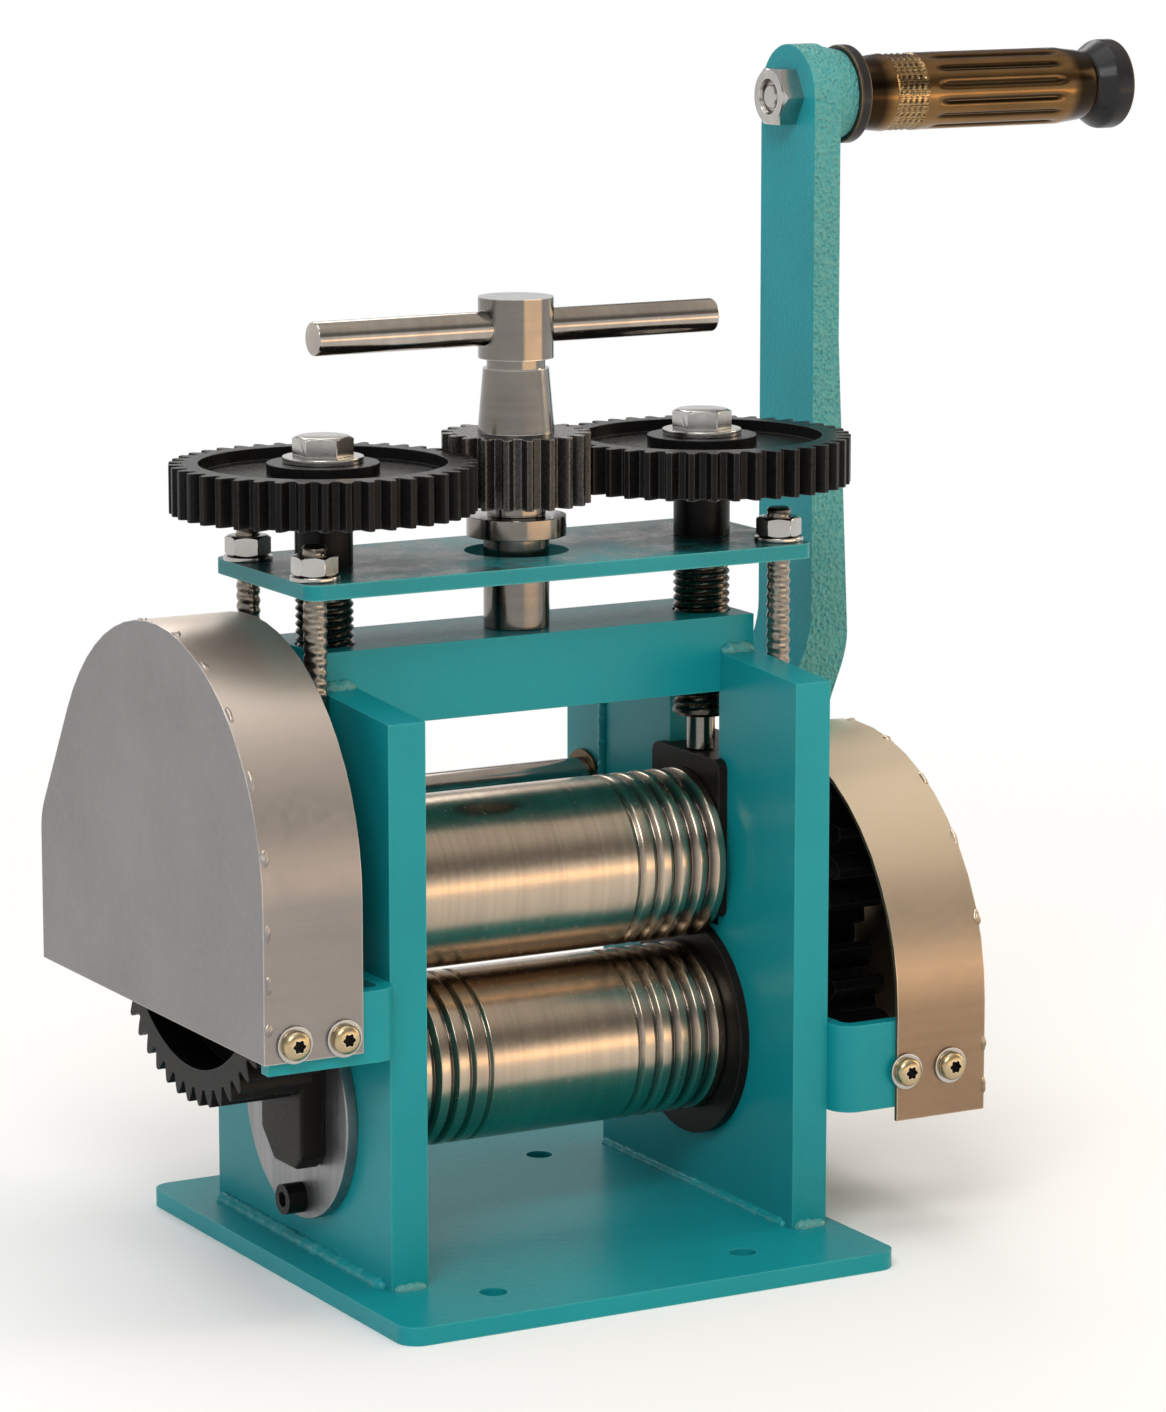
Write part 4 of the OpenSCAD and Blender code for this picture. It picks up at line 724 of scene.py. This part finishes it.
def place(piece, body, slot, *replaced):
    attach(piece, body)
    if replaced:
        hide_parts(*replaced)


# adjusting screws: bright tip, rolled thread, smooth relief under the top plate
screw = {"x": 69.5, "tip": 9.5, "tipChamfer": 0.6, "tipLow": 154.98, "threadLow": 166.9,
         "threadHigh": 219.0, "outer": 19.0, "chamfer": 1.2, "relief": 17.4, "reliefTop": 221.92,
         "carry": 16.4, "carryTop": 227.08, "seat": 15.0, "top": 259.3, "pitch": 2.5, "depth": 1.25,
         "rows": 168, "steps": 40}


def makeScrew(side, name, node):
    tip, outer = screw["tip"] / 2, screw["outer"] / 2
    foot, high = screw["threadLow"], screw["threadHigh"]
    low = foot + screw["chamfer"]
    piece = turnPiece(name, [
        (tip - screw["tipChamfer"], screw["tipLow"]), (tip, screw["tipLow"] + screw["tipChamfer"]),
        (tip, foot), (outer - screw["chamfer"], foot), (outer, low), (outer, high),
        (screw["relief"] / 2, high), (screw["relief"] / 2, screw["reliefTop"]),
        (screw["carry"] / 2, screw["reliefTop"]), (screw["carry"] / 2, screw["carryTop"]),
        (screw["seat"] / 2, screw["carryTop"]), (screw["seat"] / 2, screw["top"])], screw["steps"])
    cutRows(piece, low, high, screw["rows"])
    reshape(piece, low + 0.05, high - 0.05, threadForm(low, high, screw["pitch"], screw["depth"]))
    stand(piece, spot(side * screw["x"], 0, 0))
    smoothAndPaint(piece, threadSteel, 40)
    paintSome(piece, turnedUpright, lambda middle: middle.z < foot * mm)
    place(piece, node, "screw_steel", node)


makeScrew(-1, "leftScrewThreaded", "left_screw")
makeScrew(1, "rightScrewThreaded", "right_screw")
print("adjusting screws are cut")

# four lifting studs with their thread
stud = {"x": 84.7, "y": 24.0, "low": 144.9, "high": 238.0, "outer": 8.0, "pitch": 1.25, "depth": 0.7,
        "rows": 300, "steps": 20, "chamfer": 0.8}


def copyToCorners(first, name):
    # the other three of four alike pieces mirror the first one's place about the machine's middle
    pieces = [first]
    for x, y in ((-1, 1), (1, -1), (-1, -1)):
        pieces.append(copyTo(first, name + "Copy", (
            (x - 1) * stud["x"] * mm, (y - 1) * stud["y"] * mm, 0)))
    return joinAll(pieces, name)


def makeStuds():
    radius = stud["outer"] / 2
    end = radius - stud["chamfer"]
    low, high = stud["low"] + stud["chamfer"], stud["high"] - stud["chamfer"]
    first = turnPiece("liftingStudsThreaded", [
        (end, stud["low"]), (radius, low), (radius, high), (end, stud["high"])], stud["steps"])
    cutRows(first, low, high, stud["rows"])
    reshape(first, low + 0.02, high - 0.02, threadForm(low, high, stud["pitch"], stud["depth"]))
    stand(first, spot(stud["x"], stud["y"], 0))
    whole = copyToCorners(first, "liftingStudsThreaded")
    smoothAndPaint(whole, studSteel, 45)
    place(whole, "lift", "bright_steel", "lifting_studs")


makeStuds()
print("studs are cut")


def makeHexBlank(name, size, bore=0.0, lower=True, dish=None):
    # hexagon with turned chamfers, standing on the origin; all cuts come before the edges are broken
    width, height = size["width"], size["height"]
    corner = width / 2 / math.cos(math.pi / 6)
    piece = addCylinder(name, 6, corner, height)
    outside = corner + 0.4
    low = width / 2 - 0.3
    rise = (outside - low) * size["chamfer"]
    bottom = [(low, -0.01), (outside, rise)] if lower else [(outside, -0.01)]
    cutWith(piece, turnPiece("chamferTool", bottom + [
        (outside, height - rise), (low, height + 0.01)], 48), "INTERSECT")
    if bore:
        cutWith(piece, turnPiece("boreTool", [(bore / 2, -1), (bore / 2, height + 1)], 32))
    if dish:
        cutWith(piece, turnPiece("dishTool", dish, 40))
    roundEdges(piece, 0.25, 1, 25)
    return piece


# hexagon nuts on the studs
studNut = {"width": 13.0, "height": 6.5, "seat": 228.5, "chamfer": 0.55, "bore": 8.1}


def makeStudNuts():
    first = makeHexBlank("studNutsChamfered", studNut, studNut["bore"])
    stand(first, spot(stud["x"], stud["y"], studNut["seat"]))
    whole = copyToCorners(first, "studNutsChamfered")
    smoothAndPaint(whole, zincSteel, 25)
    place(whole, "lift", "zinc_steel", "stud_nuts")


makeStudNuts()

# nut of the handle with a round recess in its end; the spindle's end shows in the recess
handleNut = {"width": 19.0, "height": 8.0, "chamfer": 0.9, "recess": 12.4, "depth": 2.0, "slope": 0.8,
             "button": 8.2, "buttonTop": 0.6, "seat": 147.0, "y": 74.2, "z": 364.0}


def makeHandleNut():
    top = handleNut["height"]
    floor = top - handleNut["depth"]
    rim, button = handleNut["recess"] / 2, handleNut["button"] / 2
    crown = top - handleNut["buttonTop"]
    dish = [(rim - handleNut["slope"], floor), (rim, top + 0.01), (rim, top + 1)]
    nut = makeHexBlank("handleNutDished", handleNut, lower=False, dish=dish)
    end = turnPiece("nutButton", [(button, floor - 1), (button, crown - 0.4), (button - 0.5, crown)], 40)
    whole = joinAll([nut, end], "handleNutDished")
    stand(whole, spot(handleNut["seat"], handleNut["y"], handleNut["z"]), "X", flip=True)
    smoothAndPaint(whole, zincSteel, 25)
    place(whole, "crank", "black_oxide", "handle_nut")


makeHandleNut()

# bolts that hold the adjusting gears
gearBolt = {"width": 17.0, "height": 6.4, "seat": 262.3, "chamfer": 0.5, "shank": 10.0, "length": 20.0}


def makeGearBolt(side, name, node, body):
    head = makeHexBlank(name, gearBolt, lower=False)
    radius = gearBolt["shank"] / 2
    shank = turnPiece("shank", [(radius, -gearBolt["length"]), (radius, 1.0)], 32)
    for piece in (head, shank):
        stand(piece, spot(side * screw["x"], 0, gearBolt["seat"]))
    whole = joinAll([head, shank], name)
    smoothAndPaint(whole, zincSteel, 25)
    place(whole, body, "black_oxide", node)


makeGearBolt(-1, "leftGearBoltHead", "left_gear_bolt", "left_screw")
makeGearBolt(1, "rightGearBoltHead", "right_gear_bolt", "right_screw")
print("nuts and bolts are made")

# fluted grip with a knurled band at its inner end
grip = {"low": 171.08, "length": 97.5, "neck": 11.5, "radius": 13.5, "taper": 11.0, "bore": 5.05,
        "flutes": 14, "fluteDepth": 0.95, "steps": 168, "rows": 92, "knurlFrom": 13.0, "knurlTo": 25.0,
        "knurlDepth": 0.6, "knurlCount": 30, "knurlPitch": 2.4, "y": 74.2, "z": 364.0}


def gripSurface(angle, height, radius):
    start = grip["knurlTo"] + 4
    end = grip["length"] - grip["taper"] - 3
    if grip["knurlFrom"] < height < grip["knurlTo"]:
        around = angle * grip["knurlCount"] / (2 * math.pi)
        along = (height - grip["knurlFrom"]) / grip["knurlPitch"]
        one = abs(((around + along) % 1) * 2 - 1)
        two = abs(((around - along) % 1) * 2 - 1)
        return radius - grip["knurlDepth"] * (1 - min(one, two))
    if start < height < end:
        ramp = min(1.0, min(height - start, end - height) / 5)
        wave = 0.5 + 0.5 * math.cos(angle * grip["flutes"])
        return radius - grip["fluteDepth"] * ramp * wave ** 3
    return radius


def makeGrip():
    top, taper, bore = grip["length"], grip["taper"], grip["bore"]
    neck, radius = grip["neck"], grip["radius"]
    piece = turnPiece("gripFluted", [
        (bore, 0), (neck, 0), (neck + 0.9, 3.0), (radius - 0.3, taper - 1), (radius, taper + 1),
        (radius, top - taper - 1), (radius - 0.3, top - taper + 1), (neck + 0.9, top - 3.0),
        (neck, top), (bore, top)], grip["steps"], closed=True)
    cutRows(piece, taper + 1, top - taper - 1, grip["rows"])
    reshape(piece, 0, top, gripSurface, neck + 1)
    stand(piece, spot(grip["low"], grip["y"], grip["z"]), "X")
    smoothAndPaint(piece, gripBronze, 40)
    place(piece, "grip", "grip_bronze", "grip")


makeGrip()
print("grip is fluted and knurled")

# pan-head screws of the covers, with a six-lobed recess
coverScrew = {
    "head": 4.7, "headHeight": 3.0, "washer": 1.0, "shank": 2.5, "length": 6.5, "recess": 2.3,
    "recessDepth": 2.2, "sunk": 0.25, "front": -74.0,
    "places": [(-117.8, 92.66), (-100.8, 92.66), (121.3, 56.7), (104.3, 56.7)],
}


def makeCoverScrews():
    low, head, shank = coverScrew["washer"], coverScrew["head"], coverScrew["shank"]
    top = low + coverScrew["headHeight"]
    first = turnPiece("coverScrewsPanHead", [
        (shank, -coverScrew["length"]), (shank, low), (head - 0.2, low), (head, low + 0.3),
        (head, low + 1.3), (head - 0.35, low + 2.0), (head - 1.1, low + 2.6), (head - 2.2, top - 0.1),
        (0.3, top)], 36)
    bpy.ops.object.select_all(action="DESELECT")
    bpy.ops.mesh.primitive_cylinder_add(
        vertices=24, radius=coverScrew["recess"] * mm, depth=2 * coverScrew["recessDepth"] * mm,
        location=(0, 0, (top + 0.2) * mm))
    star = bpy.context.object
    for point in star.data.vertices:
        narrow(point, 0.86 + 0.14 * math.cos(6 * math.atan2(point.co.y, point.co.x)))
    cutWith(first, star)
    stand(first, Vector((0, 0, 0)), "Y")
    places = [spot(x, coverScrew["front"], z) for x, z in coverScrew["places"]]
    pieces = [copyTo(first, "coverScrewCopy", at) for at in places]
    bpy.data.objects.remove(first)
    whole = joinAll(pieces, "coverScrewsPanHead")
    smoothAndPaint(whole, yellowZinc, 35)
    front = (coverScrew["front"] + middle[1] - top + coverScrew["sunk"]) * mm
    reach = coverScrew["recess"] * 1.01 * mm
    # painted shade: the faces inside each six-lobed recess take the black finish
    paintSome(whole, blackBlock, lambda face: face.y > front and any(
        math.hypot(face.x - at.x, face.z - at.z) < reach for at in places))
    place(whole, "frame", "brassy_zinc", "cover_screws")


makeCoverScrews()
print("cover screws are made")

# weld beads: a rippled rod sunk in the corner between two plates
beads = {
    "ripple": 2.6, "sides": 12, "rowLength": 0.65,
    "blobs": ("leftFootFront", "rightFootFront", "leftEarFront", "rightEarFront", "leftEarRear",
              "rightEarRear"),
    "runs": {
        # name: start, end, radius
        "leftFootOutside": ((-80, -60, 6), (-80, 60, 6), 3.6),
        "leftFootInside": ((-67, -60, 6), (-67, 60, 6), 2.6),
        "leftFootFront": ((-79, -64.5, 6), (-68, -64.5, 6), 2.4),
        "rightFootOutside": ((80, -60, 6), (80, 60, 6), 2.6),
        "rightFootInside": ((67, -60, 6), (67, 60, 6), 2.6),
        "rightFootFront": ((68, -64.5, 6), (79, -64.5, 6), 2.8),
        "leftEarFront": ((-79, -16.8, 190.1), (-67.5, -16.8, 190.1), 3.4),
        "rightEarFront": ((67.5, -16.8, 190.1), (79, -16.8, 190.1), 3.4),
        "leftEarRear": ((-79, 23.8, 190.1), (-67.5, 23.8, 190.1), 3.2),
        "rightEarRear": ((67.5, 23.8, 190.1), (79, 23.8, 190.1), 3.2),
        "leftBarSeam": ((-67, 61.5, 106), (-67, 61.5, 185), 2.2),
        "rightBarSeam": ((67, 61.5, 106), (67, 61.5, 185), 2.2),
        "leftBracketSeam": ((-80, -40.3, 85), (-80, -40.3, 104), 2.0),
        "rightBracketSeam": ((80, -46.3, 46), (80, -46.3, 71), 2.0),
    },
}


def lumpy(s, phase):
    # uneven lumps of a hand-laid bead, each run with its own phase
    return (0.5 + 0.22 * math.sin(s * 0.71 + phase) + 0.16 * math.sin(s * 1.63 + 2.1 * phase)
            + 0.12 * math.sin(s * 0.29 + 0.7 * phase))


def makeBead(name, start, end, radius, phase):
    start, end = spot(*start), spot(*end)
    run = end - start
    length = run.length / mm
    piece = addCylinder(name, beads["sides"], radius, length)
    cutRows(piece, 0, length, max(8, int(length / beads["rowLength"])))
    for point in piece.data.vertices:
        along = point.co.z / mm
        angle = math.atan2(point.co.y, point.co.x)
        crest = 0.5 + 0.5 * math.cos(2 * math.pi * (along + 0.5 * math.cos(angle)) / beads["ripple"])
        edge = min(1.0, (min(along, length - along) + 0.6) / (radius * 0.9))
        lump = lumpy(along, phase + 0.4 * math.sin(angle)) - 0.5
        narrow(point, (0.78 + 0.13 * crest + 0.22 * lump) * math.sqrt(edge))
    piece.rotation_euler = run.to_track_quat("Z", "Y").to_euler()
    piece.location = start
    applyPlace(piece)
    return piece


def makeBeads():
    laid = {"weldBeads": [], "weldBlobs": []}
    for phase, (name, run) in enumerate(beads["runs"].items()):
        kind = "weldBlobs" if name in beads["blobs"] else "weldBeads"
        laid[kind].append(makeBead(name, *run, phase))
    for kind, finish in (("weldBeads", tealEnamel), ("weldBlobs", tealWeld)):
        whole = joinAll(laid[kind], kind)
        smoothAndPaint(whole, finish, 70)
        place(whole, "frame", "teal_paint")


makeBeads()
print("weld beads are laid")

# tack welds along the covers' outer corner: angles on the arch, heights on the straight part
tacks = {
    "left": {"x": -126.4, "centre": (4.0, 135.0), "radius": 77.7,
             "angles": (168, 150, 133, 117, 101, 82, 60), "straight": (128.0, 112.0, 98.0)},
    "right": {"x": 134.6, "centre": (7.0, 76.2), "radius": 80.6,
              "angles": (160, 140, 122, 104, 88), "straight": (62.0, 48.0)},
    "size": (1.2, 0.9, 2.8),
}


def makeTack(at, tangent, phase):
    bpy.ops.object.select_all(action="DESELECT")
    bpy.ops.mesh.primitive_ico_sphere_add(subdivisions=3, radius=1 * mm)
    piece = bpy.context.object
    wide, deep, long = tacks["size"]
    for point in piece.data.vertices:
        u, v, w = (c / mm for c in point.co)
        bump = 1 + 0.16 * math.sin(3.1 * u + phase) + 0.14 * math.sin(4.3 * w + 1.7 * phase)
        bump += 0.1 * math.sin(5.2 * v + phase)
        stretch = 1 + 0.2 * math.sin(phase)
        point.co = Vector((u * wide * bump, v * deep * bump, w * long * stretch)) * mm
    piece.rotation_euler = tangent.to_track_quat("Z", "Y").to_euler()
    piece.location = at
    applyPlace(piece)
    return piece


def makeTacks(side, finish):
    cover = tacks[side]
    x, radius = cover["x"], cover["radius"]
    y0, z0 = cover["centre"]
    made = []
    for number, angle in enumerate(cover["angles"]):
        a = math.radians(angle)
        at = spot(x, y0 + radius * math.cos(a), z0 + radius * math.sin(a))
        made.append(makeTack(at, Vector((0, -math.sin(a), math.cos(a))), number * 1.3))
    for number, height in enumerate(cover["straight"]):
        at = spot(x, y0 - radius, height)
        made.append(makeTack(at, Vector((0, 0, 1)), number * 2.1 + 0.6))
    whole = joinAll(made, side + "CoverTacks")
    smoothAndPaint(whole, finish, 70)
    place(whole, "frame", "cover_steel")


makeTacks("left", coverSheet)
# the right cover's tacks take the same painted warm reflection
makeTacks("right", coverPaintedWarmReflection)
print("tack welds are made")


# floor, world and lamps
def addFloor():
    bpy.ops.mesh.primitive_plane_add(size=60, location=(0, 0, 0))
    floor = bpy.context.object
    floor.name = "paleFloor"
    material = bpy.data.materials.new("paleFloor")
    tree = clearTree(material)
    # fades into the white of the world away from the object
    place = addNode(tree, "ShaderNodeTexCoord", (-6, 0)).outputs["Object"]
    away = calculateVector(tree, (-5, 0), "LENGTH", place)
    fade = addRange(tree, (-4, 0), away, 0.3, 1.0, interpolation_type="SMOOTHSTEP")
    rays = addNode(tree, "ShaderNodeLightPath", (-6, 2)).outputs
    seen = calculate(tree, (-5, 2), "MAXIMUM", rays["Is Camera Ray"], rays["Is Glossy Ray"])
    through = calculate(tree, (-4, 2), "MAXIMUM", seen, rays["Is Transmission Ray"])
    share = calculate(tree, (-2, 1), "MULTIPLY", fade, through)
    shader = addNode(tree, "ShaderNodeBsdfPrincipled", (2, 0), {
        "Base Color": (0.94, 0.94, 0.94, 1), "Roughness": 0.9, "Specular IOR Level": 0.1}).outputs[0]
    white = addNode(tree, "ShaderNodeEmission", (2, 2), {"Strength": 1.0}).outputs[0]
    blend = addNode(tree, "ShaderNodeMixShader", (4, 0), {0: share, 1: shader, 2: white}).outputs[0]
    addNode(tree, "ShaderNodeOutputMaterial", (6, 0), {"Surface": blend})
    floor.data.materials.append(material)


# tone of the room over the height of the direction, from straight down to straight up; white
# where the picture's background lies, a darker ceiling and a bright panel overhead
room = [
    (0.0, (0.6, 0.6, 0.6)), (0.5, (1.0, 1.0, 1.0)), (0.58, (1.0, 1.0, 1.0)), (0.63, (0.28, 0.29, 0.31)),
    (0.74, (0.22, 0.23, 0.25)), (0.86, (0.8, 0.8, 0.81)), (1.0, (0.75, 0.75, 0.76)),
]
warmth = (1.0, 0.86, 0.68, 1)   # towards +X
mirroredTop = 0.6   # metal sees the white background too, up to a little above the horizon


def addWorld():
    world = bpy.data.worlds.new("paleStudio")
    bpy.context.scene.world = world
    tree = clearTree(world)
    toward = splitPlace(tree, (-6, 0), "Generated")
    height = addRange(tree, (-4, 0), toward["Z"], -1.0, 1.0)
    bands = addNode(tree, "ShaderNodeValToRGB", (-3, 0), {0: height})
    stops = bands.color_ramp.elements
    while len(stops) < len(room):
        stops.new(0.5)
    for stop, (at, tone) in zip(stops, room):
        stop.position = at
        stop.color = (*tone, 1)
    aside = addRange(tree, (-4, -2), toward["X"], 0.0, 0.9)
    warm = addNode(tree, "ShaderNodeMix", (-1, 0), {0: aside, 6: bands.outputs[0], 7: warmth},
                   data_type="RGBA", blend_type="MULTIPLY").outputs[2]
    soft = addNode(tree, "ShaderNodeBackground", (1, 1), {"Color": warm, "Strength": 0.85}).outputs[0]
    white = addNode(tree, "ShaderNodeBackground", (1, -1), {
        "Color": (1, 1, 1, 1), "Strength": 1.0}).outputs[0]
    rays = addNode(tree, "ShaderNodeLightPath", (-4, 3)).outputs
    low = calculate(tree, (-2, 3), "LESS_THAN", height, mirroredTop)
    mirrored = calculate(tree, (-2, 4), "MAXIMUM", rays["Is Glossy Ray"], rays["Is Transmission Ray"])
    background = calculate(tree, (-1, 3), "MULTIPLY", low, mirrored)
    either = calculate(tree, (1, 3), "MAXIMUM", rays["Is Camera Ray"], background)
    pick = addNode(tree, "ShaderNodeMixShader", (4, 0), {0: either, 1: soft, 2: white}).outputs[0]
    addNode(tree, "ShaderNodeOutputWorld", (6, 0), {"Surface": pick})


lamps = {
    "key": {"place": (-1.0, -1.3, 1.6), "size": (1.0, 0.8), "power": 19, "tone": (1.0, 0.99, 0.97)},
    "warmFront": {"place": (0.6, -1.15, 0.1), "size": (1.5, 0.22), "power": 2.5, "tone": (1.0, 0.6, 0.25)},
    "warmSide": {"place": (1.6, -0.3, 0.7), "size": (0.5, 0.9), "power": 6, "tone": (1.0, 0.8, 0.55)},
    "back": {"place": (0.4, 1.5, 1.3), "size": (1.0, 0.6), "power": 7, "tone": (1.0, 0.98, 0.95)},
    "top": {"place": (0.0, 0.0, 1.9), "size": (1.2, 1.2), "power": 8, "tone": (1.0, 1.0, 1.0)},
}
lampAim = Vector((0.05, 0, 0.17))


def addLamps():
    for name, lamp in lamps.items():
        data = bpy.data.lights.new(name, "AREA")
        data.shape = "RECTANGLE"
        data.size, data.size_y = lamp["size"]
        data.energy = lamp["power"]
        data.color = lamp["tone"]
        item = bpy.data.objects.new(name, data)
        item.location = lamp["place"]
        item.rotation_euler = (lampAim - Vector(lamp["place"])).to_track_quat("-Z", "Y").to_euler()
        bpy.context.scene.collection.objects.link(item)


addFloor()
addWorld()
addLamps()
bpy.context.scene.view_settings.view_transform = "Standard"
print("floor, world and lamps are set")
